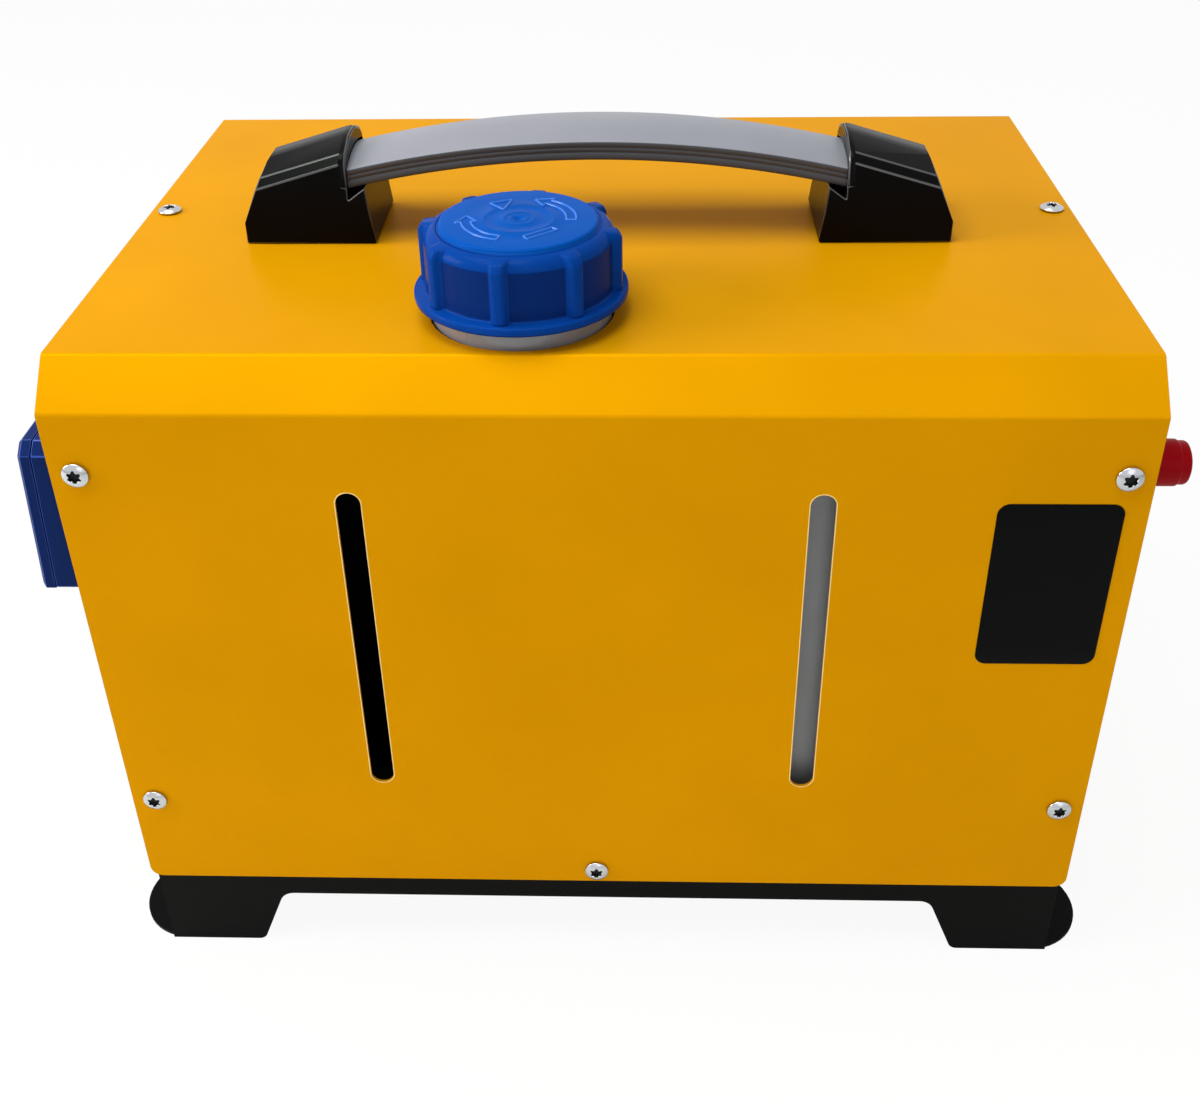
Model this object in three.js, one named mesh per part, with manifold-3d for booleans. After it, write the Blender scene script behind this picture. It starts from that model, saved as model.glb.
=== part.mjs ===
// Carry-size diesel air heater: a folded steel case with a fuel tank in front of a finned
// heater core, a carrying handle, a controller on the left side and two terminals on the right.
// Millimetres, +Z up, +X to the right seen from the front, +Y to the rear.
// The origin is the middle of the case in plan, on the ground.
import * as THREE from 'three';
import { mergeVertices } from 'three/addons/utils/BufferGeometryUtils.js';
import Module from 'manifold-3d';

const wasm = await Module();
wasm.setup();

// ---- driving dimensions: case
const CASE_W = 390;
const CASE_D = 291;
const COVER_H = 243;
const CLEAR_UNDER = 41; // ground to the lower edge of the cover
const CHAMFER = 16; // fold between front or rear sheet and top
const SHEET = 1.2;
const BEND_R = 2.5;
const COVER_CORNER_R = 5;
const GAP = 0.3; // between pieces that touch
const PANEL_INSET = 0.5; // side panel face behind the cover's cut edge
const FLANGE = 18; // folded rim of a side panel

// ---- sight slots, measured from the cover's lower edge
const SLOT_W = 9.2;
const SLOT_LOW = 56;
const SLOT_HIGH = 195.5;
const SLOT_LEFT_IN = 105.7; // from the case's left side
const SLOT_RIGHT_IN = 114.5; // from its right side
const SLOT_LEFT_X = -CASE_W / 2 + SLOT_LEFT_IN;
const SLOT_RIGHT_X = CASE_W / 2 - SLOT_RIGHT_IN;

// ---- cover screws: pan head M5
const SCREW_HEAD_R = 4.9;
const SCREW_HEAD_H = 2.6;
const SCREW_R = 2.4;
const SCREW_LEN = 6;
const SCREW_CLEAR = 0.4;
const SCREW_X = CASE_W / 2 - 9.5;
const SCREW_UP = 203;
const SCREW_LOW = 45;
const SCREW_MID_X = -3;
const SCREW_MID_UP = 6.6;
const TOP_SCREW_X = CASE_W / 2 - 8;
const TOP_SCREW_Y = 4.5;

// ---- base with four legs
const BASE_SHEET = 1.5;
const BASE_RISE = 16; // wall that goes up inside the cover
const SKIRT = 11.7; // wall that shows under the cover
const FLOOR_LIFT = 2.2; // floor above the skirt's lower edge
const LEG_FOOT_X = CASE_W / 2 - 43.2; // inner end of a leg at the ground, front view
const LEG_NECK_X = CASE_W / 2 - 55.3; // inner end of a leg at the skirt
const LEG_FOOT_Y = 96;
const LEG_NECK_Y = 84;
const LEG_FOOT_R = 4;
const LEG_NECK_R = 6.5;
const EAR_R = 24.5; // round foot plate
const EAR_OUT = 17.5; // foot plate beyond the leg
const RELIEF_R = 2.2; // hole at the front end of its fold
const RELIEF_BACK = 6;

// ---- handle
const HANDLE_X = -3;
const HANDLE_Y = -8.5;
const BRACKET_OUT = CASE_W / 2 - 53; // handle middle to a bracket's outer end
const BRACKET_L = 53;
const BRACKET_D = 46;
const BRACKET_TOP_D = 41.6;
const BRACKET_CURB = 8.3; // upright part of the outer end
const BRACKET_SHOULDER_X = 9.1; // where the sloped outer end meets the roof
const BRACKET_SHOULDER_H = 30.1;
const BRACKET_SLOPE = THREE.MathUtils.degToRad(16.5);
const BRACKET_MOUTH_X = 43;
const BRACKET_LEDGE_H = 17.8;
const BRACKET_STEP_X = 50;
const BRACKET_STEP_H = 22.9;
const CROWN_BEVEL = 3.4; // the roof's long edges, at 45 degrees
const CROWN_FLAT = 11.8; // level middle of the roof
const CROWN_RISE = 3.9; // its two gentle slopes
const LIP_L = 3; // rounded rim of the mouth
const LIP_IN = 1.3;
const GRIP_W = 38;
const GRIP_SIDE = 8;
const GRIP_CROWN = 3;
const GRIP_EDGE_R = 1.5;
const GRIP_SAG = 17.25; // of the ends below the middle
const GRIP_RISE = 37; // middle of the grip's side above the top sheet
const GRIP_END = BRACKET_OUT - 20; // half length, inside the brackets
const GRIP_ARC_R = (GRIP_END ** 2 + GRIP_SAG ** 2) / (2 * GRIP_SAG);
const GRIP_STEPS = 22;

// ---- fuel tank and filler
const TANK_X0 = SLOT_LEFT_X + 13.3;
const TANK_X1 = CASE_W / 2 - 11;
const TANK_FRONT_GAP = 8;
const TANK_D = 91;
const TANK_TOP_UP = 215; // above the cover's lower edge
const TANK_WALL = 2.5;
const TANK_PLAN_R = 14;
const TANK_EDGE_R = 8;
const NECK_X = TANK_X0 + 47.9;
const NECK_BACK = 51.8; // neck axis behind the case front
const NECK_SHOULDER_R = 33;
const NECK_SHOULDER_UP = 7.2; // above the top sheet
const NECK_R = 29;
const NECK_UP = 28;
const NECK_BORE_R = 25;
const NECK_CLEAR = 1;

// ---- filler cap
const CAP_FLANGE_R = 39;
const CAP_FLANGE_H = 3;
const CAP_BODY_R = 34.3;
const CAP_SHOULDER_R = 5;
const CAP_DISC_R = 28.6;
const CAP_TOP_UP = 35.3;
const CAP_DISC_PROUD = 1.8;
const CAP_RIBS = 8;
const CAP_RIB_R = 37.2;
const CAP_RIB_W = 5.4;
const CAP_RIB_TOP_UP = 31;
const CAP_RIB_TURN = THREE.MathUtils.degToRad(-98);
const CAP_ROOF = 4.3;
const CAP_THREAD_CLEAR = 1.6;
const CAP_SEAL_T = 2.4;

// ---- heater core, along X
const CORE_Y = 50;
const CORE_HALF_W = 64;
const CORE_HALF_H = 68;
const CORE_CORNER_R = 26;
const CORE_LIFT = 18; // core shell above the floor
const SHELL_WALL = 2.5;
const SHELL_X0 = -CASE_W / 2 + 23;
const SHELL_X1 = CASE_W / 2 - 63;
const INLET_R = 42;
const FINS = 24;
const FIN_R = 56;
const FIN_T = 2.2;
const EXCH_R = 36;
const EXCH_BORE_R = 28;
const BLOWER_L = 120; // length of the core that the blower takes
const EXCH_X0 = SHELL_X0 + BLOWER_L;
const EXCH_X1 = SHELL_X1 - 10;
const EXCH_END = 22;
const PEDESTAL_X0 = EXCH_X0 - 8;
const PEDESTAL_X1 = PEDESTAL_X0 + 80;
const PEDESTAL_HALF = 30;
const BURNER_R = 25;
const BURNER_WALL = 2;
const BURNER_LEN = EXCH_X1 - EXCH_X0 - 62;
const BURNER_FLANGE_R = 34;
const BURNER_FLANGE_T = 3.2;
const PLUG_X = EXCH_X0 + 17;
const PLUG_R = 4;
const PLUG_SEAT_UP = 45.7;
const PLUG_HEX_R = 6.5;
const MOTOR_R = 29;
const MOTOR_X0 = SHELL_X0 + BLOWER_L / 3;
const BULKHEAD_X = SHELL_X0 + 0.7 * BLOWER_L;
const BULKHEAD_T = 4;
const CHAMBER_R = 38;
const CHAMBER_L = 24;
const SHAFT_R = 3;
const RUN_CLEAR = 0.1; // shaft in its bearing bore
const SHAFT_X0 = SHELL_X0 + 8;
const SHAFT_X1 = SHELL_X0 + 0.9 * BLOWER_L;
const FAN_R = 39.5;
const FAN_HUB_R = 15;
const FAN_X0 = SHELL_X0 + 12;
const FAN_L = 20;
const FAN_BLADES = 9;
const WHEEL_R = 33;
const WHEEL_X0 = BULKHEAD_X + 8;
const WHEEL_L = 12;
const WHEEL_VANES = 12;
const STUB_R = 12;
const STUB_WALL = 1.5;
const STUB_LOW = 8;
const STUB_CLEAR = 0.6;
const AIR_STUB_X = PEDESTAL_X0 + 20;
const EXHAUST_STUB_X = PEDESTAL_X0 + 60;
const HOOD_ROUND_X = CASE_W / 2 - 30;
const HOOD_R = 37.5;
const HOOD_X1 = CASE_W / 2 - 8;
const HOOD_WALL = 2;

// ---- side fittings on the core's axis
const GRILLE_R = 50;
const GRILLE_HOLE_R = 46;
const GRILLE_T = 2.5;
const OUTLET_FLANGE_R = 50;
const OUTLET_HOLE_R = 41;
const OUTLET_BARREL_R = 45;
const OUTLET_BORE_R = 42.5;
const OUTLET_REACH = 18.5;
const LOUVRE_RIM = 2.6;
const LOUVRE_VANES = 5;
const LOUVRE_PITCH = 14;

// ---- controller on the left panel
const CTRL_FRONT = 17.5; // behind the case front
const CTRL_LEN = 112;
const CTRL_LOW = 139.5; // above the cover's lower edge
const CTRL_H = 64.9;
const CTRL_CORNER_R = 1.5;
const CTRL_CHAMFER = 4.6; // along its upper front and rear edges
const CTRL_LEAN = Math.tan(THREE.MathUtils.degToRad(3)); // the face looks up a little
const BEZEL_T = 5.1;
const BEZEL_EDGE = 1.3;
const SIDE_REACH = 22.8; // controller and terminals beyond the cover
const BUTTON_W = 15;
const BUTTON_H = 12;
const BUTTON_R = 3;
const BUTTON_PROUD = 0.8;
const BUTTON_DEEP = 4;
const BUTTON_CLEAR = 0.4;
const BUTTON_OFF_Y = 43;
const BUTTON_OFF_Z = 13;
const DISPLAY_W = 60;
const DISPLAY_H = 38;
const DISPLAY_T = 3;

// ---- terminals on the right panel
const POST_BACK = 33; // red post behind the case front
const POST_PITCH = 32;
const POST_UP = 189.7;
const POST_R = 10;
const POST_L = 7.4;
const KNOB_R = 8.9;
const KNOB_END_R = 8.3;
const KNOB_END_L = 4.2;
const KNOB_EDGE = 1.6;
const STUD_R = 3.9;
const STUD_CLEAR = 0.3;
const STUD_IN = 8;
const WASHER_R = 7.5;
const WASHER_T = 1;

// ---- fuel line fittings in the left front bay
const LINE_BACK = 45; // filter and pump behind the case front
const OUTLET_UP = 22; // tank outlet above the floor
const SPIGOT_R = 3.5;
const HOSE_WALL = 2;
const FILTER_R = 12;
const FILTER_L = 28;
const FILTER_GAP_X = 29.5; // filter body left of the tank
const SPIGOT_L = 8.5;
const PUMP_X = -CASE_W / 2 + 35;
const PUMP_R = 14;
const PUMP_UP = 51; // pump body above the floor
const PUMP_L = 50;
const CLAMP_T = 3;
const CLAMP_W = 14;
const FUEL_TUBE_R = 2.5;
const NIPPLE_R = 1.6;
const NIPPLE_L = 12;

// ---- derived places
const FRONT_Y = -CASE_D / 2;
const TOP_Z = CLEAR_UNDER + COVER_H;
const LINING = SHEET + GAP; // cover's outer face to what lies inside it
const BASE_X = CASE_W / 2 - PANEL_INSET - LINING;
const BASE_Y = CASE_D / 2 - LINING;
const SKIRT_Z = CLEAR_UNDER - SKIRT;
const BASE_TOP = CLEAR_UNDER + BASE_RISE;
const FLOOR_TOP = SKIRT_Z + FLOOR_LIFT + BASE_SHEET;
const PANEL_X = CASE_W / 2 - PANEL_INSET;
const CORE_Z = FLOOR_TOP + CORE_LIFT + CORE_HALF_H;
const NECK_Y = FRONT_Y + NECK_BACK;
const TANK_Y0 = FRONT_Y + TANK_FRONT_GAP;
const TANK_Y1 = TANK_Y0 + TANK_D;
const TANK_Z0 = FLOOR_TOP + GAP;
const TANK_Z1 = CLEAR_UNDER + TANK_TOP_UP;
const REACH_X = CASE_W / 2 + SIDE_REACH;
const CTRL_Y = FRONT_Y + CTRL_FRONT + CTRL_LEN / 2;
const CTRL_Z = CLEAR_UNDER + CTRL_LOW + CTRL_H / 2;
const LINE_Y = FRONT_Y + LINE_BACK;
const OUTLET_Z = FLOOR_TOP + OUTLET_UP;
const CAP_SEAL_LOW = NECK_UP + GAP;
const CAP_FLANGE_LOW = NECK_SHOULDER_UP + GAP;

// ---- finishes
const finish = (color, roughness, metalness) =>
  new THREE.MeshStandardMaterial({ color, roughness, metalness });
const yellowPaint = finish(0xe8a010, 0.3, 0.1);
const blackPaint = finish(0x141414, 0.45, 0.1);
const zincSteel = finish(0xc8ccd0, 0.3, 1);
const castAluminium = finish(0x9a9da0, 0.5, 1);
const brass = finish(0xb8923a, 0.35, 1);
const blackPlastic = finish(0x121212, 0.35, 0);
const greyPlastic = finish(0x8e9098, 0.5, 0);
const milkyPlastic = finish(0xb9bcc0, 0.45, 0);
const bluePlastic = finish(0x0f53c6, 0.3, 0);
const darkBluePlastic = finish(0x16287a, 0.4, 0);
const redPlastic = finish(0xa00018, 0.4, 0);
const rubber = finish(0x1b1b1c, 0.85, 0);
const darkGlass = finish(0x0b0f14, 0.1, 0);

// ---- solids
// A closed three.js geometry as a solid that can be cut and joined.
function solid(geometry) {
  const bare = geometry.clone();
  bare.deleteAttribute('normal');
  bare.deleteAttribute('uv');
  const merged = mergeVertices(bare, 1e-4);
  const points = merged.getAttribute('position').array;
  const index = merged.index.array;
  const corner = (i) => new THREE.Vector3().fromArray(points, 3 * i);
  const faces = [];
  let volume = 0;
  for (let i = 0; i < index.length; i += 3) {
    const [a, b, c] = index.slice(i, i + 3);
    if (a === b || b === c || c === a) continue;
    faces.push([a, b, c]);
    volume += corner(a).dot(corner(b).cross(corner(c)));
  }
  const outward = volume < 0 ? faces.map(([a, b, c]) => [a, c, b]) : faces;
  const mesh = new wasm.Mesh({
    numProp: 3,
    vertProperties: new Float32Array(points),
    triVerts: new Uint32Array(outward.flat()),
  });
  return new wasm.Manifold(mesh);
}

const joined = (...solids) => solids.reduce((all, one) => all.add(one));
const cut = (body, ...tools) => tools.reduce((rest, tool) => rest.subtract(tool), body);

// An outline with rounded corners: each corner is [u, v] or [u, v, radius].
function outline(corners, steps = 5) {
  const at = corners.map(([u, v]) => new THREE.Vector2(u, v));
  const points = [];
  corners.forEach(([, , radius = 0], i) => {
    const here = at[i];
    if (radius === 0) {
      points.push(here);
      return;
    }
    const back = at[(i + at.length - 1) % at.length].clone().sub(here).normalize();
    const on = at[(i + 1) % at.length].clone().sub(here).normalize();
    const half = Math.acos(THREE.MathUtils.clamp(back.dot(on), -1, 1)) / 2;
    const start = here.clone().addScaledVector(back, radius / Math.tan(half));
    const end = here.clone().addScaledVector(on, radius / Math.tan(half));
    const middle = back.clone().add(on).normalize();
    const centre = here.clone().addScaledVector(middle, radius / Math.sin(half));
    const from = start.clone().sub(centre).angle();
    const sweep = end.clone().sub(centre).angle() - from;
    const turn = sweep > Math.PI ? sweep - 2 * Math.PI : sweep < -Math.PI ? sweep + 2 * Math.PI : sweep;
    for (let k = 0; k <= steps; k++) {
      const angle = from + (turn * k) / steps;
      points.push(new THREE.Vector2(Math.cos(angle), Math.sin(angle)).multiplyScalar(radius).add(centre));
    }
  });
  return new THREE.Shape(points);
}

const rectangle = (u0, u1, v0, v1, radius = 0, steps = 5) =>
  outline([[u0, v0, radius], [u1, v0, radius], [u1, v1, radius], [u0, v1, radius]], steps);

function disc(radius, u = 0, v = 0) {
  const shape = new THREE.Shape();
  shape.absarc(u, v, radius, 0, 2 * Math.PI);
  return shape;
}

// A full circle comes out with this many sides.
const extruded = (shape, depth, sides) =>
  new THREE.ExtrudeGeometry(shape, { depth, bevelEnabled: false, curveSegments: sides / 2 });

// Prisms along an axis: the shape lies in (y, z), (x, z) or (x, y).
function prismX(shape, x0, x1, sides = 24) {
  const turn = new THREE.Matrix4().set(0, 0, 1, x0, 1, 0, 0, 0, 0, 1, 0, 0, 0, 0, 0, 1);
  return solid(extruded(shape, x1 - x0, sides).applyMatrix4(turn));
}
function prismY(shape, y0, y1, sides = 24) {
  return solid(extruded(shape, y1 - y0, sides).rotateX(Math.PI / 2).translate(0, y1, 0));
}
function prismZ(shape, z0, z1, sides = 24) {
  return solid(extruded(shape, z1 - z0, sides).translate(0, 0, z0));
}
function block(x0, x1, y0, y1, z0, z1) {
  const box = new THREE.BoxGeometry(x1 - x0, y1 - y0, z1 - z0);
  return solid(box.translate((x0 + x1) / 2, (y0 + y1) / 2, (z0 + z1) / 2));
}

// Turned pieces: the profile is [radius, height] pairs, on the axis or closed on itself.
function turnedGeometry(profile, segments) {
  const points = profile.map(([r, h]) => new THREE.Vector2(r, h));
  return new THREE.LatheGeometry(points, segments).rotateX(Math.PI / 2);
}
const closedLoop = (profile) => [...profile, profile[0]];
const turnedZ = (profile, x = 0, y = 0, segments = 32) =>
  solid(turnedGeometry(profile, segments).translate(x, y, 0));
const turnedX = (profile, y = 0, z = 0, segments = 32) =>
  solid(turnedGeometry(profile, segments).rotateY(Math.PI / 2).translate(0, y, z));
const rodX = (radius, x0, x1, y, z, segments = 24) =>
  turnedX([[0, x0], [radius, x0], [radius, x1], [0, x1]], y, z, segments);
const rodZ = (radius, z0, z1, x, y, segments = 24) =>
  turnedZ([[0, z0], [radius, z0], [radius, z1], [0, z1]], x, y, segments);
const rodY = (radius, y0, y1, x, z, sides = 16) =>
  prismY(disc(radius, x, z), y0, y1, sides);
const tubeX = (outer, inner, x0, x1, y, z, segments = 32) =>
  turnedX(closedLoop([[inner, x0], [outer, x0], [outer, x1], [inner, x1]]), y, z, segments);

// A skin through rings of equal point count, closed at both ends or round on itself.
function loft(rings, roundOnItself = false) {
  const count = rings[0].length;
  const positions = rings.flat().flatMap((p) => [p.x, p.y, p.z]);
  const index = [];
  const bands = roundOnItself ? rings.length : rings.length - 1;
  for (let i = 0; i < bands; i++) {
    const low = i * count;
    const high = ((i + 1) % rings.length) * count;
    for (let k = 0; k < count; k++) {
      const next = (k + 1) % count;
      index.push(low + k, low + next, high + next, low + k, high + next, high + k);
    }
  }
  if (!roundOnItself) {
    const last = (rings.length - 1) * count;
    for (let k = 1; k < count - 1; k++) {
      index.push(0, k + 1, k, last, last + k, last + k + 1);
    }
  }
  const geometry = new THREE.BufferGeometry();
  geometry.setAttribute('position', new THREE.Float32BufferAttribute(positions, 3));
  geometry.setIndex(index);
  return solid(geometry);
}

// Folded sheet seen end on: the outer face's corners, folded to the right of the path.
function foldedSheet(corners, thickness, radius, steps = 4) {
  const outer = [];
  const inner = [];
  const normal = (from, to) => {
    const along = to.clone().sub(from).normalize();
    return new THREE.Vector2(along.y, -along.x);
  };
  const place = (point, inward) => {
    outer.push(point);
    inner.unshift(point.clone().addScaledVector(inward, thickness));
  };
  corners.forEach((here, i) => {
    if (i === 0 || i === corners.length - 1) {
      const [from, to] = i === 0 ? [here, corners[1]] : [corners[i - 1], here];
      place(here.clone(), normal(from, to));
      return;
    }
    const before = normal(corners[i - 1], here);
    const after = normal(here, corners[i + 1]);
    const fold = before.angle() - after.angle();
    const half = THREE.MathUtils.euclideanModulo(fold, 2 * Math.PI) / 2;
    const along = here.clone().sub(corners[i - 1]).normalize();
    const start = here.clone().addScaledVector(along, -radius * Math.tan(half));
    const centre = start.clone().addScaledVector(before, radius);
    for (let k = 0; k <= steps; k++) {
      const inward = before.clone().rotateAround(new THREE.Vector2(), (-2 * half * k) / steps);
      place(centre.clone().addScaledVector(inward, -radius), inward);
    }
  });
  return new THREE.Shape([...outer, ...inner]);
}

// A round tube or solid rod along a curve.
function rodAlong(curve, radius, sides, steps) {
  const shape = disc(radius);
  return solid(new THREE.ExtrudeGeometry(shape, {
    steps, curveSegments: sides / 2, bevelEnabled: false, extrudePath: curve,
  }));
}

// A box with rounded upright corners and rounded top and bottom edges.
function softBox(x0, x1, y0, y1, z0, z1, planR, edgeR) {
  const shape = rectangle(x0 + edgeR, x1 - edgeR, y0 + edgeR, y1 - edgeR, planR - edgeR, 3);
  const geometry = new THREE.ExtrudeGeometry(shape, {
    depth: z1 - z0 - 2 * edgeR,
    bevelThickness: edgeR,
    bevelSize: edgeR,
    bevelSegments: 2,
  });
  return solid(geometry.translate(0, 0, z0 + edgeR));
}

// ---- the model
const heater = new THREE.Group();
function add(name, body, material, parent = heater) {
  const { vertProperties, triVerts } = body.getMesh();
  const geometry = new THREE.BufferGeometry();
  geometry.setAttribute('position', new THREE.BufferAttribute(vertProperties.slice(), 3));
  geometry.setIndex(new THREE.BufferAttribute(triVerts.slice(), 1));
  geometry.computeVertexNormals();
  const mesh = new THREE.Mesh(geometry, material);
  mesh.name = name;
  parent.add(mesh);
  return mesh;
}

// ---- case
const SCREW_HOLE_R = SCREW_R + SCREW_CLEAR;
const frontScrews = [
  ['upper_left', -SCREW_X, CLEAR_UNDER + SCREW_UP],
  ['upper_right', SCREW_X, CLEAR_UNDER + SCREW_UP],
  ['lower_left', -SCREW_X, CLEAR_UNDER + SCREW_LOW],
  ['lower_right', SCREW_X, CLEAR_UNDER + SCREW_LOW],
  ['bottom', SCREW_MID_X, CLEAR_UNDER + SCREW_MID_UP],
];
const topScrews = [['left', -TOP_SCREW_X], ['right', TOP_SCREW_X]];

// Holes for the cover screws, through every sheet that they hold.
function screwHoles() {
  const upright = frontScrews.map(([, x, z]) => rodY(SCREW_HOLE_R, -CASE_D, CASE_D, x, z, 12));
  const level = topScrews.map(([, x]) =>
    rodZ(SCREW_HOLE_R, TOP_Z - 2 * CHAMFER, TOP_Z + CHAMFER, x, TOP_SCREW_Y, 12));
  return joined(...upright, ...level);
}
const allScrewHoles = screwHoles();

// The cover is one sheet folded over front, top and rear, with two sight slots and the neck hole.
function cover() {
  const rim = [
    [FRONT_Y, CLEAR_UNDER], [FRONT_Y, TOP_Z - CHAMFER], [FRONT_Y + CHAMFER, TOP_Z],
    [-FRONT_Y - CHAMFER, TOP_Z], [-FRONT_Y, TOP_Z - CHAMFER], [-FRONT_Y, CLEAR_UNDER],
  ].map(([y, z]) => new THREE.Vector2(y, z));
  const sheet = prismX(foldedSheet(rim, SHEET, BEND_R), -CASE_W / 2, CASE_W / 2);
  const slots = [SLOT_LEFT_X, SLOT_RIGHT_X].map((x) => {
    const half = SLOT_W / 2;
    const shape = rectangle(
      x - half, x + half, CLEAR_UNDER + SLOT_LOW, CLEAR_UNDER + SLOT_HIGH, half - 0.001, 8);
    return prismY(shape, FRONT_Y - 1, FRONT_Y + LINING);
  });
  const neckHole = rodZ(NECK_SHOULDER_R + NECK_CLEAR, TOP_Z - LINING, TOP_Z + 1, NECK_X, NECK_Y, 40);
  const corners = [-1, 1].map((side) => {
    const edge = (side * CASE_W) / 2;
    const in_ = edge - side * COVER_CORNER_R;
    const round = prismY(disc(COVER_CORNER_R, in_, CLEAR_UNDER + COVER_CORNER_R), -CASE_D, CASE_D, 32);
    const [x0, x1] = [in_, edge + side].sort((a, b) => a - b);
    const square = block(x0, x1, -CASE_D, CASE_D, CLEAR_UNDER - 1, CLEAR_UNDER + COVER_CORNER_R);
    return square.subtract(round);
  });
  return cut(sheet, ...slots, neckHole, ...corners, allScrewHoles);
}

// The case outline in (y, z), moved in by a distance, down to a given height.
function caseOutline(inset, low) {
  const half = CASE_D / 2 - inset;
  const top = TOP_Z - inset;
  const fold = CHAMFER - inset * (2 - Math.SQRT2);
  return new THREE.Shape([
    [-half, low], [half, low], [half, top - fold], [half - fold, top],
    [-half + fold, top], [-half, top - fold],
  ].map(([y, z]) => new THREE.Vector2(y, z)));
}

// A side panel is a plate with its rim folded in behind the cover; side is -1 left, 1 right.
function sidePanel(side, ...openings) {
  const depth = (a, b) => [side * (PANEL_X - a), side * (PANEL_X - b)].sort((p, q) => p - q);
  const block_ = prismX(caseOutline(LINING, CLEAR_UNDER), ...depth(0, FLANGE));
  const hollow = prismX(caseOutline(LINING + SHEET, CLEAR_UNDER - 1), ...depth(SHEET, FLANGE + 1));
  const [x0, x1] = depth(SHEET, FLANGE + 1);
  const notch = block(x0, x1, -CASE_D, CASE_D, 0, BASE_TOP + GAP);
  return cut(block_, hollow, notch, allScrewHoles, ...openings);
}

// The base: four walls with legs, a floor, and a round foot plate folded out at each leg.
function base() {
  const wall = (half, foot, neck) => outline([
    [-half, 0], [-foot, 0, LEG_FOOT_R], [-neck, SKIRT_Z, LEG_NECK_R],
    [neck, SKIRT_Z, LEG_NECK_R], [foot, 0, LEG_FOOT_R], [half, 0],
    [half, BASE_TOP], [-half, BASE_TOP],
  ]);
  const longWall = wall(BASE_X, LEG_FOOT_X, LEG_NECK_X);
  const shortWall = wall(BASE_Y, LEG_FOOT_Y, LEG_NECK_Y);
  const walls = [
    prismY(longWall, -BASE_Y, -BASE_Y + BASE_SHEET),
    prismY(longWall, BASE_Y - BASE_SHEET, BASE_Y),
    prismX(shortWall, -BASE_X, -BASE_X + BASE_SHEET),
    prismX(shortWall, BASE_X - BASE_SHEET, BASE_X),
  ];
  const floor = block(-BASE_X, BASE_X, -BASE_Y, BASE_Y, FLOOR_TOP - BASE_SHEET, FLOOR_TOP);
  const ears = [];
  const reliefs = [];
  for (const sx of [-1, 1]) {
    for (const sy of [-1, 1]) {
      const middleX = BASE_X + EAR_OUT - EAR_R;
      const plate = rodZ(EAR_R, 0, BASE_SHEET, sx * middleX, sy * (BASE_Y - EAR_R), 48);
      const [x0, x1] = [sx * (BASE_X - BASE_SHEET), sx * 2 * BASE_X].sort((a, b) => a - b);
      ears.push(plate.intersect(block(x0, x1, -CASE_D, CASE_D, -1, BASE_SHEET + 1)));
      reliefs.push(rodZ(RELIEF_R, -1, BASE_SHEET + 1, sx * BASE_X, sy * (BASE_Y - RELIEF_BACK), 12));
    }
  }
  const stubs = [AIR_STUB_X, EXHAUST_STUB_X].map((x) =>
    rodZ(STUB_R + STUB_CLEAR, 0, FLOOR_TOP + 1, x, CORE_Y, 24));
  return cut(joined(...walls, floor, ...ears), ...reliefs, ...stubs, allScrewHoles);
}

// A pan-head screw standing along +Z, its head just clear of the sheet at z = 0.
function screw() {
  return turnedZ([
    [0, -SCREW_LEN], [SCREW_R, -SCREW_LEN], [SCREW_R, GAP], [SCREW_HEAD_R, GAP],
    [SCREW_HEAD_R, GAP + 0.4 * SCREW_HEAD_H], [0.7 * SCREW_HEAD_R, GAP + 0.85 * SCREW_HEAD_H],
    [0, GAP + SCREW_HEAD_H],
  ], 0, 0, 12);
}

add('cover', cover(), yellowPaint);
add('base', base(), blackPaint);

const screws = new THREE.Group();
heater.add(screws);
for (const [place, x, z] of frontScrews) {
  const front = add(`front_screw_${place}`, screw(), zincSteel, screws);
  front.rotation.x = Math.PI / 2;
  front.position.set(x, FRONT_Y, z);
  const rear = add(`rear_screw_${place}`, screw(), zincSteel, screws);
  rear.rotation.x = -Math.PI / 2;
  rear.position.set(x, -FRONT_Y, z);
}
for (const [place, x] of topScrews) {
  const top = add(`top_screw_${place}`, screw(), zincSteel, screws);
  top.position.set(x, TOP_SCREW_Y, TOP_Z);
}

// ---- handle
// The grip's section at an angle along its arc, grown by a clearance.
function gripRing(angle, grow) {
  const half = GRIP_W / 2 + grow;
  const low = -GRIP_SIDE / 2 - grow;
  const high = GRIP_SIDE / 2 + grow;
  const crown = [0.85, 0.5, 0, -0.5, -0.85].map((t) => [t * half, high + GRIP_CROWN * (1 - t * t)]);
  const section = [
    [-half, low + GRIP_EDGE_R], [-half + GRIP_EDGE_R, low], [half - GRIP_EDGE_R, low],
    [half, low + GRIP_EDGE_R], [half, high], ...crown, [-half, high],
  ];
  return section.map(([across, up]) => new THREE.Vector3(
    HANDLE_X + (GRIP_ARC_R + up) * Math.sin(angle),
    HANDLE_Y + across,
    TOP_Z + GRIP_RISE - GRIP_ARC_R + (GRIP_ARC_R + up) * Math.cos(angle),
  ));
}

// The grip is a flat moulded strap bent to an arc.
function grip(grow, reach) {
  const end = Math.asin((GRIP_END + reach) / GRIP_ARC_R);
  const rings = [];
  for (let i = 0; i <= GRIP_STEPS; i++) {
    rings.push(gripRing(end * ((2 * i) / GRIP_STEPS - 1), grow));
  }
  return loft(rings);
}

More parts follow.
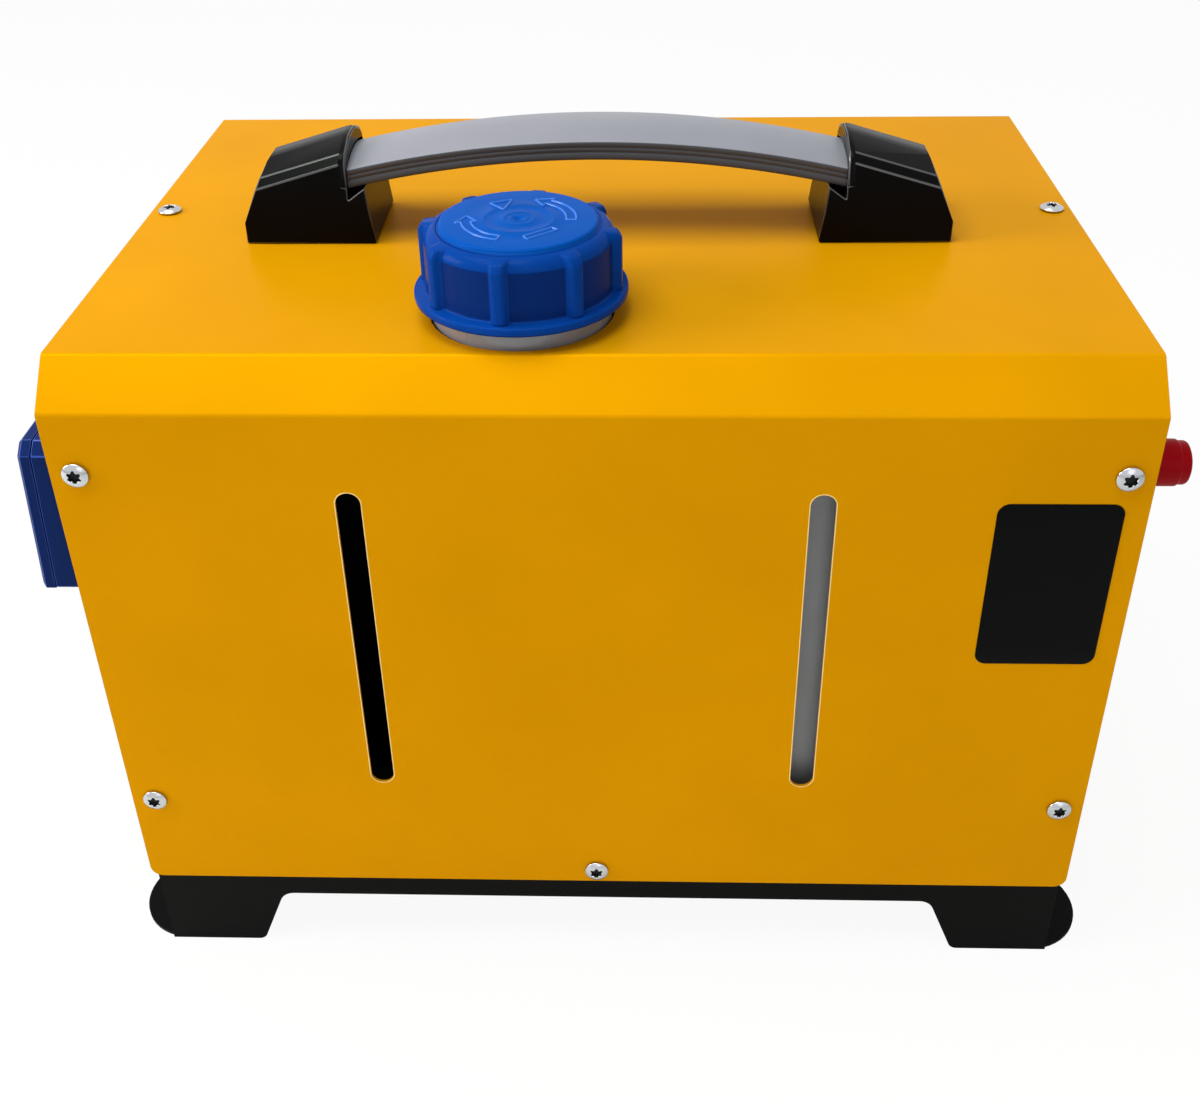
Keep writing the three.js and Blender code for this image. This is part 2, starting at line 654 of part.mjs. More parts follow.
// The bracket's roof across the handle: bevelled edges, two gentle slopes and a level middle, drawn
// in by an inset. Heights are below the roof line.
function crownOutline(inset) {
  const low = BRACKET_D / 2 - inset;
  const wall = BRACKET_TOP_D / 2 - inset;
  const deep = -2 * BRACKET_L;
  const drop = inset + CROWN_RISE + CROWN_BEVEL;
  const half = [
    [low, deep], [low, -BRACKET_SHOULDER_H], [wall, -drop], [wall - CROWN_BEVEL, CROWN_BEVEL - drop],
    [CROWN_FLAT / 2, -inset],
  ];
  return [...half, ...half.map(([across, up]) => [-across, up]).reverse()];
}

// A moulded bracket: a wedge with a roof that rises to the mouth, whose rim is rounded, and a
// ledge under the grip.
function bracket(side) {
  const rise = Math.tan(BRACKET_SLOPE);
  const roof = (x) => BRACKET_SHOULDER_H + (x - BRACKET_SHOULDER_X) * rise;
  const profile = outline([
    [0, 0], [BRACKET_L, 0, 1], [BRACKET_STEP_X, BRACKET_STEP_H], [BRACKET_MOUTH_X, BRACKET_LEDGE_H],
    [BRACKET_MOUTH_X, roof(BRACKET_MOUTH_X)], [BRACKET_SHOULDER_X, BRACKET_SHOULDER_H, 2],
    [0, BRACKET_CURB, 3],
  ]);
  const section = (x, inset) =>
    crownOutline(inset).map(([across, up]) => new THREE.Vector3(x, across, roof(x) + up));
  const lipX = BRACKET_MOUTH_X - LIP_L;
  const roofed = loft([section(-1, 0), section(BRACKET_L + 1, 0)]);
  const lip = loft([0, 30, 60, 90].map((deg) => {
    const a = THREE.MathUtils.degToRad(deg);
    return section(lipX + LIP_L * Math.sin(a), LIP_IN * (1 - Math.cos(a)));
  }));
  const rim = block(
    lipX, BRACKET_MOUTH_X + 1, -BRACKET_D, BRACKET_D, BRACKET_LEDGE_H, roof(BRACKET_L)).subtract(lip);
  const ledge = block(
    lipX, BRACKET_L, -BRACKET_D, BRACKET_D, BRACKET_LEDGE_H, BRACKET_STEP_H);
  const wedge = prismY(profile, -BRACKET_D, BRACKET_D).intersect(roofed);
  const body = wedge.subtract(rim).add(wedge.intersect(ledge)).rotate([0, 0, side > 0 ? 180 : 0]);
  const placed = body.translate([HANDLE_X + side * BRACKET_OUT, HANDLE_Y, TOP_Z + GAP]);
  return placed.subtract(grip(GAP, GAP));
}

add('handle_bracket_left', bracket(-1), blackPlastic);
add('handle_bracket_right', bracket(1), blackPlastic);
add('handle_grip', grip(0, 0), greyPlastic);

// ---- fuel tank, cap and seal
// The tank is one blow moulding; its neck goes up through the cover.
function tank() {
  const outer = softBox(TANK_X0, TANK_X1, TANK_Y0, TANK_Y1, TANK_Z0, TANK_Z1, TANK_PLAN_R, TANK_EDGE_R);
  const inner = softBox(
    TANK_X0 + TANK_WALL, TANK_X1 - TANK_WALL, TANK_Y0 + TANK_WALL, TANK_Y1 - TANK_WALL,
    TANK_Z0 + TANK_WALL, TANK_Z1 - TANK_WALL, TANK_PLAN_R - TANK_WALL, TANK_EDGE_R - TANK_WALL);
  const shoulder = TOP_Z + NECK_SHOULDER_UP;
  const neck = turnedZ([
    [0, TANK_Z1 - TANK_WALL / 2], [NECK_SHOULDER_R, TANK_Z1 - TANK_WALL / 2], [NECK_SHOULDER_R, shoulder],
    [NECK_R, shoulder], [NECK_R, TOP_Z + NECK_UP], [0, TOP_Z + NECK_UP],
  ], NECK_X, NECK_Y, 40);
  const bore = rodZ(NECK_BORE_R, TANK_Z1 - 2 * TANK_WALL, TOP_Z + NECK_UP + 1, NECK_X, NECK_Y, 32);
  const outlet = rodX(SPIGOT_R + GAP, TANK_X0 - 1, TANK_X0 + 2 * TANK_WALL, LINE_Y, OUTLET_Z, 16);
  return cut(outer.add(neck), inner, bore, outlet);
}

// The cap, with its axis at x = y = 0 and heights measured from the top sheet.
function cap() {
  const shoulderTop = CAP_TOP_UP - CAP_DISC_PROUD;
  const cavityR = NECK_R + CAP_THREAD_CLEAR;
  const ceiling = CAP_TOP_UP - CAP_ROOF;
  const arc = [0, 45, 90].map((deg) => {
    const a = THREE.MathUtils.degToRad(deg);
    return [
      CAP_BODY_R - CAP_SHOULDER_R * (1 - Math.cos(a)),
      shoulderTop - CAP_SHOULDER_R * (1 - Math.sin(a)),
    ];
  });
  const flangeTop = CAP_FLANGE_LOW + CAP_FLANGE_H;
  const shell = turnedZ([
    [0, ceiling], [cavityR, ceiling], [cavityR, CAP_FLANGE_LOW], [CAP_FLANGE_R, CAP_FLANGE_LOW],
    [CAP_FLANGE_R, flangeTop - 1], [CAP_FLANGE_R - 1, flangeTop], [CAP_BODY_R, flangeTop], ...arc,
    [CAP_DISC_R, shoulderTop], [CAP_DISC_R - 0.8, CAP_TOP_UP], [0, CAP_TOP_UP],
  ], 0, 0, 40);
  const ribs = [];
  for (let i = 0; i < CAP_RIBS; i++) {
    const half = CAP_RIB_W / 2;
    const across = outline([
      [CAP_BODY_R - 2, -half], [CAP_RIB_R, -half, 1.6], [CAP_RIB_R, half, 1.6], [CAP_BODY_R - 2, half],
    ], 3);
    const straight = prismZ(across, flangeTop - 1, CAP_RIB_TOP_UP);
    const slope = Math.tan(Math.PI / 4);
    const bevel = turnedZ([
      [0, flangeTop - 2], [CAP_RIB_R + 1, flangeTop - 2], [CAP_RIB_R + 1, CAP_RIB_TOP_UP - 3],
      [CAP_RIB_R - 3, CAP_RIB_TOP_UP - 3 + 4 * slope], [0, CAP_RIB_TOP_UP - 3 + 4 * slope],
    ], 0, 0, 24);
    const turn = THREE.MathUtils.radToDeg(CAP_RIB_TURN) + (360 * i) / CAP_RIBS;
    ribs.push(straight.intersect(bevel).rotate([0, 0, turn]));
  }
  return joined(shell, ...ribs);
}

const seal = () => rodZ(NECK_R, CAP_SEAL_LOW, CAP_SEAL_LOW + CAP_SEAL_T, 0, 0, 32);

add('fuel_tank', tank(), milkyPlastic);
const filler = new THREE.Group();
filler.position.set(NECK_X, NECK_Y, TOP_Z);
heater.add(filler);
add('fuel_cap', cap(), bluePlastic, filler);
add('cap_seal', seal(), rubber, filler);

// ---- fuel line: tank outlet, filter, pump
const FLANGE_X = TANK_X0 - GAP;
const FILTER_X1 = TANK_X0 - FILTER_GAP_X;
const FILTER_X0 = FILTER_X1 - FILTER_L;
const OUTLET_TIP_X = FILTER_X1 + SPIGOT_L + 3;
const HOSE_R = SPIGOT_R + GAP + HOSE_WALL;

function tankOutlet() {
  return turnedX(closedLoop([
    [SPIGOT_R - 1.6, OUTLET_TIP_X], [SPIGOT_R, OUTLET_TIP_X], [SPIGOT_R, FLANGE_X - 3],
    [9, FLANGE_X - 3], [9, FLANGE_X], [SPIGOT_R, FLANGE_X], [SPIGOT_R, TANK_X0 + 2 * TANK_WALL],
    [SPIGOT_R - 1.6, TANK_X0 + 2 * TANK_WALL],
  ]), LINE_Y, OUTLET_Z, 20);
}

const tankHose = () =>
  tubeX(HOSE_R, SPIGOT_R + GAP, FILTER_X1 + 1, FLANGE_X - 4, LINE_Y, OUTLET_Z, 20);

function fuelFilter() {
  return turnedX([
    [0, FILTER_X0 - SPIGOT_L], [SPIGOT_R, FILTER_X0 - SPIGOT_L], [SPIGOT_R, FILTER_X0],
    [FILTER_R * 0.75, FILTER_X0], [FILTER_R, FILTER_X0 + 3], [FILTER_R, FILTER_X1 - 3],
    [FILTER_R * 0.75, FILTER_X1], [SPIGOT_R, FILTER_X1], [SPIGOT_R, FILTER_X1 + SPIGOT_L],
    [0, FILTER_X1 + SPIGOT_L],
  ], LINE_Y, OUTLET_Z, 24);
}

const PUMP_Z = FLOOR_TOP + PUMP_UP;
function pumpHose() {
  const start = new THREE.Vector3(FILTER_X0 - 1, LINE_Y, OUTLET_Z);
  const bend = new THREE.Vector3(PUMP_X, LINE_Y, OUTLET_Z);
  const end = new THREE.Vector3(PUMP_X, LINE_Y, PUMP_Z - 1);
  const hose = rodAlong(new THREE.QuadraticBezierCurve3(start, bend, end), HOSE_R, 12, 12);
  const filterEnd = rodX(SPIGOT_R + GAP, FILTER_X0 - SPIGOT_L - GAP, FILTER_X0, LINE_Y, OUTLET_Z, 16);
  const pumpEnd = rodZ(SPIGOT_R + GAP, PUMP_Z - SPIGOT_L - GAP, PUMP_Z, PUMP_X, LINE_Y, 16);
  return cut(hose, filterEnd, pumpEnd);
}

// The dosing pump stands upright in its clamp, outlet on top, plug socket at its side.
function pump() {
  const top = PUMP_Z + PUMP_L;
  const body = turnedZ([
    [0, PUMP_Z - SPIGOT_L], [SPIGOT_R, PUMP_Z - SPIGOT_L], [SPIGOT_R, PUMP_Z], [PUMP_R - 2, PUMP_Z],
    [PUMP_R, PUMP_Z + 2], [PUMP_R, top - 2], [PUMP_R - 4, top], [PUMP_R - 5, top + 8],
    [FUEL_TUBE_R - 0.7, top + 8], [FUEL_TUBE_R - 0.7, top + 18], [0, top + 18],
  ], PUMP_X, LINE_Y, 20);
  const socket = block(PUMP_X, PUMP_X + PUMP_R + 6, LINE_Y - 6, LINE_Y + 6, top - 14, top - 3);
  return joined(body, socket);
}

function pumpClamp() {
  const low = PUMP_Z + 12;
  const outer = PUMP_R + GAP + CLAMP_T;
  const ring = turnedZ(closedLoop([
    [PUMP_R + GAP, low], [outer, low], [outer, low + CLAMP_W], [PUMP_R + GAP, low + CLAMP_W],
  ]), PUMP_X, LINE_Y, 28);
  const foot = block(
    -PANEL_X + SHEET + GAP, PUMP_X - PUMP_R - 1, LINE_Y - CLAMP_W / 2, LINE_Y + CLAMP_W / 2,
    low, low + CLAMP_W);
  const hole = rodZ(PUMP_R + GAP, low - 1, low + CLAMP_W + 1, PUMP_X, LINE_Y, 28);
  return joined(ring, foot.subtract(hole));
}

const NIPPLE_Z = FLOOR_TOP + CORE_LIFT / 2;
const PEDESTAL_FRONT = CORE_Y - PEDESTAL_HALF;
// The nylon line runs over behind the tank and down to the nipple under the core.
function fuelLine() {
  const top = PUMP_Z + PUMP_L + 18;
  const behindTank = (TANK_Y1 + CORE_Y - CORE_HALF_W) / 2;
  const reach = AIR_STUB_X - PUMP_X;
  const drop = top - NIPPLE_Z;
  const route = [
    [PUMP_X, LINE_Y, top - 9], [PUMP_X, LINE_Y, top + 6],
    [PUMP_X + reach / 15, LINE_Y + 0.2 * TANK_D, top + 0.18 * drop],
    [PUMP_X + reach / 4.3, behindTank - 0.13 * TANK_D, top + 0.12 * drop],
    [PUMP_X + reach / 2.6, behindTank, top - 0.2 * drop],
    [AIR_STUB_X - reach / 3, behindTank, NIPPLE_Z + 0.35 * drop],
    [AIR_STUB_X - reach / 10, behindTank, NIPPLE_Z + 0.07 * drop],
    [AIR_STUB_X, (behindTank + PEDESTAL_FRONT) / 2, NIPPLE_Z], [AIR_STUB_X, PEDESTAL_FRONT - 2, NIPPLE_Z],
  ].map((p) => new THREE.Vector3(...p));
  const line = rodAlong(new THREE.CatmullRomCurve3(route), FUEL_TUBE_R, 8, 44);
  const pumpTip = rodZ(FUEL_TUBE_R - 0.7 + GAP, top - 10, top + GAP, PUMP_X, LINE_Y, 12);
  const nippleTip = rodY(
    NIPPLE_R + GAP, PEDESTAL_FRONT - NIPPLE_L - GAP, PEDESTAL_FRONT, AIR_STUB_X, NIPPLE_Z, 12);
  return cut(line, pumpTip, nippleTip);
}

add('tank_outlet', tankOutlet(), brass);
add('tank_hose', tankHose(), rubber);
add('fuel_filter', fuelFilter(), milkyPlastic);
add('pump_hose', pumpHose(), rubber);
add('fuel_pump', pump(), zincSteel);
add('pump_clamp', pumpClamp(), rubber);
add('fuel_line', fuelLine(), milkyPlastic);

// ---- heater core
const coreSection = (inset) => rectangle(
  CORE_Y - CORE_HALF_W + inset, CORE_Y + CORE_HALF_W - inset,
  CORE_Z - CORE_HALF_H + inset, CORE_Z + CORE_HALF_H - inset, CORE_CORNER_R - inset, 6);

// One half of the moulded core shell: a ring section with an end wall round the air inlet.
function coreShell(half) {
  const outer = prismX(coreSection(0), SHELL_X0, SHELL_X1);
  const inner = prismX(coreSection(SHELL_WALL), SHELL_X0 + SHELL_WALL, SHELL_X1 + 1);
  const inlet = rodX(INLET_R, SHELL_X0 - 1, SHELL_X0 + 2 * SHELL_WALL, CORE_Y, CORE_Z, 40);
  const far = 2 * CASE_W;
  const other = half > 0
    ? block(-far, far, -far, far, CORE_Z - far, CORE_Z + GAP / 2)
    : block(-far, far, -far, far, CORE_Z - GAP / 2, CORE_Z + far);
  const pedestal = block(
    PEDESTAL_X0 - GAP, PEDESTAL_X1 + GAP, CORE_Y - PEDESTAL_HALF - GAP, CORE_Y + PEDESTAL_HALF + GAP,
    0, CORE_Z);
  return cut(outer, inner, inlet, other, pedestal);
}

// Cast heat exchanger: radial fins round a blind bore, on a pedestal that stands on the floor.
function heatExchanger() {
  const star = [];
  for (let i = 0; i < FINS; i++) {
    const a = (2 * Math.PI * i) / FINS;
    const root = Math.asin(FIN_T / 2 / EXCH_R);
    const tip = Math.asin(FIN_T / 2 / FIN_R);
    for (const [r, off] of [[EXCH_R, -root], [FIN_R, -tip], [FIN_R, tip], [EXCH_R, root]]) {
      star.push(new THREE.Vector2(CORE_Y + r * Math.cos(a + off), CORE_Z + r * Math.sin(a + off)));
    }
  }
  const fins = prismX(new THREE.Shape(star), EXCH_X0, EXCH_X1);
  const bore = rodX(EXCH_BORE_R, EXCH_X0 - 1, EXCH_X1 - EXCH_END, CORE_Y, CORE_Z, 32);
  const pedestal = block(
    PEDESTAL_X0, PEDESTAL_X1, CORE_Y - PEDESTAL_HALF, CORE_Y + PEDESTAL_HALF,
    FLOOR_TOP + GAP, CORE_Z - EXCH_BORE_R - 4);
  const lip = block(
    PEDESTAL_X0 - 1, EXCH_X0 - 0.01, CORE_Y - PEDESTAL_HALF - 1, CORE_Y + PEDESTAL_HALF + 1,
    CORE_Z - CORE_HALF_H + SHELL_WALL + 6, CORE_Z);
  const nipple = rodY(
    NIPPLE_R, PEDESTAL_FRONT - NIPPLE_L, PEDESTAL_FRONT + 1, AIR_STUB_X, NIPPLE_Z, 12);
  const boss = rodZ(PLUG_HEX_R + 2, CORE_Z + EXCH_BORE_R + 2, CORE_Z + PLUG_SEAT_UP, PLUG_X, CORE_Y, 20);
  const spot = rodZ(PLUG_HEX_R + 2, CORE_Z + PLUG_SEAT_UP, CORE_Z + CORE_HALF_H, PLUG_X, CORE_Y, 20);
  const well = rodZ(PLUG_R + GAP, CORE_Z, CORE_Z + CORE_HALF_H, PLUG_X, CORE_Y, 16);
  return cut(joined(fins.subtract(spot), pedestal.subtract(lip), boss, nipple), bore, well);
}

function burnerTube() {
  const x0 = EXCH_X0 - GAP;
  const tube = turnedX(closedLoop([
    [BURNER_R - BURNER_WALL, x0 - BURNER_FLANGE_T], [BURNER_FLANGE_R, x0 - BURNER_FLANGE_T],
    [BURNER_FLANGE_R, x0], [BURNER_R, x0], [BURNER_R, x0 + BURNER_LEN],
    [BURNER_R - BURNER_WALL, x0 + BURNER_LEN],
  ]), CORE_Y, CORE_Z, 24);
  return cut(tube, rodZ(PLUG_R + GAP, CORE_Z, CORE_Z + CORE_HALF_H, PLUG_X, CORE_Y, 16));
}

function glowPlug() {
  const seat = CORE_Z + PLUG_SEAT_UP + GAP;
  return turnedZ([
    [0, CORE_Z + 14], [2.2, CORE_Z + 16], [2.2, CORE_Z + BURNER_R], [PLUG_R, CORE_Z + BURNER_R + 2],
    [PLUG_R, seat], [PLUG_HEX_R, seat], [PLUG_HEX_R, seat + 6], [1.6, seat + 6], [1.6, seat + 11],
    [0, seat + 11],
  ], PLUG_X, CORE_Y, 12);
}

// Arc windows for the air, as holes of a bulkhead shape in (y, z).
function arcWindow(r0, r1, from, to) {
  const hole = new THREE.Path();
  hole.absarc(CORE_Y, CORE_Z, r1, from, to, false);
  hole.absarc(CORE_Y, CORE_Z, r0, to, from, true);
  return hole;
}

// Motor housing with the bulkhead that seats it in the shell and the combustion blower's chamber.
function motorHousing() {
  const plate = coreSection(SHELL_WALL + GAP);
  const windows = 6;
  for (let i = 0; i < windows; i++) {
    const from = (2 * Math.PI * i) / windows + 0.12;
    const to = (2 * Math.PI * (i + 1)) / windows - 0.12;
    plate.holes.push(arcWindow(CHAMBER_R + 3, FIN_R, from, to));
  }
  const bulkhead = prismX(plate, BULKHEAD_X, BULKHEAD_X + BULKHEAD_T, 12);
  const body = rodX(MOTOR_R, MOTOR_X0, BULKHEAD_X + 1, CORE_Y, CORE_Z, 28);
  const chamberX = BULKHEAD_X + BULKHEAD_T - 0.5;
  const chamber = tubeX(CHAMBER_R, CHAMBER_R - 2, chamberX, chamberX + CHAMBER_L, CORE_Y, CORE_Z, 28);
  const bore = rodX(SHAFT_R + RUN_CLEAR, MOTOR_X0 - 1, BULKHEAD_X + CHAMBER_L, CORE_Y, CORE_Z, 16);
  return cut(joined(bulkhead, body, chamber), bore);
}

// Heating-air impeller: twisted blades on a hub.
function airImpeller() {
  const hub = tubeX(FAN_HUB_R, SHAFT_R + GAP, FAN_X0, FAN_X0 + FAN_L, 0, 0, 24);
  const blades = [];
  for (let i = 0; i < FAN_BLADES; i++) {
    const stations = [[FAN_HUB_R - 2, 52, 17], [0.7 * FAN_R, 40, 20], [FAN_R, 30, 22]];
    const rings = stations.map(([r, pitch, chord]) => {
      const a = THREE.MathUtils.degToRad(pitch);
      return [[-1, -1], [1, -1], [1, 1], [-1, 1]].map(([c, t]) => {
        const along = (c * chord) / 2;
        const thick = t * 0.9;
        return new THREE.Vector3(
          FAN_X0 + FAN_L / 2 + along * Math.sin(a) + thick * Math.cos(a),
          along * Math.cos(a) - thick * Math.sin(a),
          r,
        );
      });
    });
    blades.push(loft(rings).rotate([(360 * i) / FAN_BLADES, 0, 0]));
  }
  const room = tubeX(2 * FAN_R, SHAFT_R + GAP, FAN_X0, FAN_X0 + FAN_L, 0, 0, 16);
  return joined(hub, ...blades).intersect(room);
}

// Combustion-air wheel: curved vanes on a disc.
function combustionImpeller() {
  const back = WHEEL_X0 + WHEEL_L;
  const wheel = tubeX(WHEEL_R, SHAFT_R + GAP, back - 2, back, 0, 0, 36);
  const hub = tubeX(SHAFT_R + 5, SHAFT_R + GAP, WHEEL_X0, back - 1, 0, 0, 20);
  const vanes = [];
  for (let i = 0; i < WHEEL_VANES; i++) {
    const vane = outline([
      [0.36, -0.03], [0.67, 0.09], [1, 0.3], [1.03, 0.26], [0.685, 0.052], [0.36, -0.073],
    ].map(([out, along]) => [out * WHEEL_R, along * WHEEL_R]));
    vanes.push(prismX(vane, WHEEL_X0, back - 1).rotate([(360 * i) / WHEEL_VANES, 0, 0]));
  }
  const room = rodX(WHEEL_R, WHEEL_X0 - 1, back + 1, 0, 0, 36);
  return joined(wheel, hub, ...vanes).intersect(room);
}

function controlBox() {
  const low = CORE_Z + MOTOR_R + GAP;
  const high = low + 0.55 * MOTOR_R;
  const half = 0.47 * CORE_HALF_W;
  const length = BULKHEAD_X - MOTOR_X0;
  const body = prismX(
    rectangle(CORE_Y - half, CORE_Y + half, low, high, 2, 3), MOTOR_X0 - 1, BULKHEAD_X - 1);
  const plug = block(
    MOTOR_X0 + 0.1 * length, MOTOR_X0 + 0.7 * length, CORE_Y - 0.4 * half, CORE_Y + 0.4 * half,
    high - 1, high + 0.28 * MOTOR_R);
  return joined(body, plug);
}

// Outlet hood: from the shell's rounded rectangle to the round outlet, as one wall.
function outletHood() {
  const square = (x, inset) =>
    coreSection(inset).getPoints().map((p) => new THREE.Vector3(x, p.x, p.y));
  const directions = square(0, 0).map((p) => Math.atan2(p.z - CORE_Z, p.y - CORE_Y));
  const round = (x, radius) => directions.map((a) =>
    new THREE.Vector3(x, CORE_Y + radius * Math.cos(a), CORE_Z + radius * Math.sin(a)));
  const x0 = SHELL_X1 + GAP;
  return loft([
    square(x0, 0), round(HOOD_ROUND_X, HOOD_R), round(HOOD_X1, HOOD_R),
    round(HOOD_X1, HOOD_R - HOOD_WALL), round(HOOD_ROUND_X, HOOD_R - HOOD_WALL), square(x0, SHELL_WALL),
  ], true);
}

function stub(x) {
  const top = FLOOR_TOP;
  return turnedZ(closedLoop([
    [STUB_R - STUB_WALL, STUB_LOW], [STUB_R, STUB_LOW], [STUB_R, STUB_LOW + 3], [STUB_R - 0.6, STUB_LOW + 4],
    [STUB_R - 0.6, top], [STUB_R - STUB_WALL, top],
  ]), x, CORE_Y, 20);
}

add('core_shell_lower', coreShell(-1), blackPlastic);
add('core_shell_upper', coreShell(1), blackPlastic);
add('heat_exchanger', heatExchanger(), castAluminium);
add('burner_tube', burnerTube(), zincSteel);
add('glow_plug', glowPlug(), zincSteel);
add('blower_motor', motorHousing(), castAluminium);
add('control_box', controlBox(), blackPlastic);
add('outlet_hood', outletHood(), blackPlastic);
add('exhaust_stub', stub(EXHAUST_STUB_X), zincSteel);
add('combustion_air_stub', stub(AIR_STUB_X), castAluminium);

const rotor = new THREE.Group();
rotor.position.set(0, CORE_Y, CORE_Z);
heater.add(rotor);
add('blower_shaft', rodX(SHAFT_R, SHAFT_X0, SHAFT_X1, 0, 0, 16), zincSteel, rotor);
add('air_impeller', airImpeller(), blackPlastic, rotor);
add('combustion_impeller', combustionImpeller(), castAluminium, rotor);

// ---- side fittings
const INTAKE_X = -PANEL_X - GAP;
// Intake grille: a flange with a spigot and rings on spokes, moulded in one.
function intakeGrille() {
  const front = INTAKE_X - GRILLE_T;
  const spigotR = GRILLE_HOLE_R - GAP;
  const flange = tubeX(GRILLE_R, spigotR - 2, front, INTAKE_X, CORE_Y, CORE_Z, 32);
  const spigot = tubeX(spigotR, spigotR - 2, INTAKE_X - 1, INTAKE_X + 6, CORE_Y, CORE_Z, 32);
  const rings = [0.22, 0.48, 0.74].map((share) => {
    const r = share * GRILLE_HOLE_R;
    return tubeX(r + 1.2, r - 1.2, front + 0.4, INTAKE_X - 0.2, CORE_Y, CORE_Z, 20);
  });
  const spokes = [0, 60, 120].map((deg) => {
    const bar = block(front + 0.4, INTAKE_X - 0.2, -spigotR + 1, spigotR - 1, -1.2, 1.2);
    return bar.rotate([deg, 0, 0]).translate([0, CORE_Y, CORE_Z]);
  });
  return joined(flange, spigot, ...rings, ...spokes);
}

const OUTLET_X = PANEL_X + GAP;
const OUTLET_SEAT_X = OUTLET_X + 3;
const OUTLET_END_X = OUTLET_X + OUTLET_REACH;
// Outlet ring: spigot over the hood's end, flange on the panel, barrel for the louvre.
function outletRing() {
  const throat = HOOD_R + GAP + 0.2;
  return turnedX(closedLoop([
    [throat, HOOD_X1 - 8], [OUTLET_HOLE_R - GAP, HOOD_X1 - 8], [OUTLET_HOLE_R - GAP, OUTLET_X],
    [OUTLET_FLANGE_R, OUTLET_X], [OUTLET_FLANGE_R, OUTLET_SEAT_X], [OUTLET_BARREL_R, OUTLET_SEAT_X],
    [OUTLET_BARREL_R, OUTLET_END_X], [OUTLET_BORE_R, OUTLET_END_X], [OUTLET_BORE_R, OUTLET_SEAT_X],
    [throat, OUTLET_SEAT_X],
  ]), CORE_Y, CORE_Z, 36);
}

// The louvre turns in the ring's barrel; its vanes lean to steer the air.
function louvre() {
  const x0 = OUTLET_SEAT_X + GAP;
  const x1 = OUTLET_END_X - 0.5;
  const outer = OUTLET_BORE_R - GAP;
  const rim = tubeX(outer, outer - LOUVRE_RIM, x0, x1, 0, 0, 36);
  const room = rodX(outer - LOUVRE_RIM / 2, x0, x1, 0, 0, 36);
  const vanes = [];
  for (let i = 0; i < LOUVRE_VANES; i++) {
    const z = (i - (LOUVRE_VANES - 1) / 2) * LOUVRE_PITCH;
    const vane = block(-8, 8, -outer, outer, -0.9, 0.9).rotate([0, 32, 0]);
    vanes.push(vane.translate([(x0 + x1) / 2, 0, z]));
  }
  return joined(rim, joined(...vanes).intersect(room));
}

const intakeHole = rodX(GRILLE_HOLE_R, -CASE_W, 0, CORE_Y, CORE_Z, 32);
const outletHole = rodX(OUTLET_HOLE_R, 0, CASE_W, CORE_Y, CORE_Z, 36);
const cableHole = rodX(6, -CASE_W, 0, CTRL_Y, CTRL_Z, 20);
const postPlaces = [['red', FRONT_Y + POST_BACK], ['black', FRONT_Y + POST_BACK + POST_PITCH]];
const POST_Z = CLEAR_UNDER + POST_UP;
const postHoles = postPlaces.map(([, y]) => rodX(STUD_R + STUD_CLEAR, 0, CASE_W, y, POST_Z, 16));

add('side_panel_left', sidePanel(-1, intakeHole, cableHole), yellowPaint);
add('side_panel_right', sidePanel(1, outletHole, ...postHoles), yellowPaint);
add('intake_grille', intakeGrille(), blackPlastic);
add('outlet_ring', outletRing(), blackPlastic);
const outlet = new THREE.Group();
outlet.position.set(0, CORE_Y, CORE_Z);
heater.add(outlet);
add('outlet_louvre', louvre(), blackPlastic, outlet);

// ---- controller
// Its face leans, so that it looks up a little: the moulding is thicker at the bottom.
const CTRL_X1 = -PANEL_X - GAP;
const CTRL_FACE = -REACH_X + BUTTON_PROUD + CTRL_LEAN * (BUTTON_OFF_Z + BUTTON_H / 2);
const CTRL_SPLIT = CTRL_FACE + BEZEL_T;
const leaning = (body, middle = CTRL_Z) => body.warp((p) => {
  p[0] += CTRL_LEAN * (p[2] - middle);
});

function ctrlOutline(inset) {
  const half = CTRL_LEN / 2 - inset;
  const [low, high] = [CTRL_Z - CTRL_H / 2 + inset, CTRL_Z + CTRL_H / 2 - inset];
  const slant = CTRL_CHAMFER - inset * (2 - Math.SQRT2);
  return outline([
    [CTRL_Y - half, low, CTRL_CORNER_R], [CTRL_Y + half, low, CTRL_CORNER_R],
    [CTRL_Y + half, high - slant], [CTRL_Y + half - slant, high],
    [CTRL_Y - half + slant, high], [CTRL_Y - half, high - slant],
  ], 3);
}

const buttonPlaces = [
  ['power', -BUTTON_OFF_Y, BUTTON_OFF_Z], ['set', -BUTTON_OFF_Y, -BUTTON_OFF_Z],
  ['up', BUTTON_OFF_Y, BUTTON_OFF_Z], ['down', BUTTON_OFF_Y, -BUTTON_OFF_Z],
];
const buttonShape = (grow) => rectangle(
  -BUTTON_W / 2 - grow, BUTTON_W / 2 + grow, -BUTTON_H / 2 - grow, BUTTON_H / 2 + grow,
  BUTTON_R + grow, 3);

// Back half: leans in front and lies flat on the panel.
function controllerBack() {
  const deep = CTRL_LEAN * CTRL_H;
  const body = leaning(prismX(ctrlOutline(0.2), CTRL_SPLIT + GAP / 2, CTRL_X1 + deep));
  return body.subtract(block(CTRL_X1, CTRL_X1 + 3 * deep, -CASE_D, CASE_D, 0, TOP_Z));
}

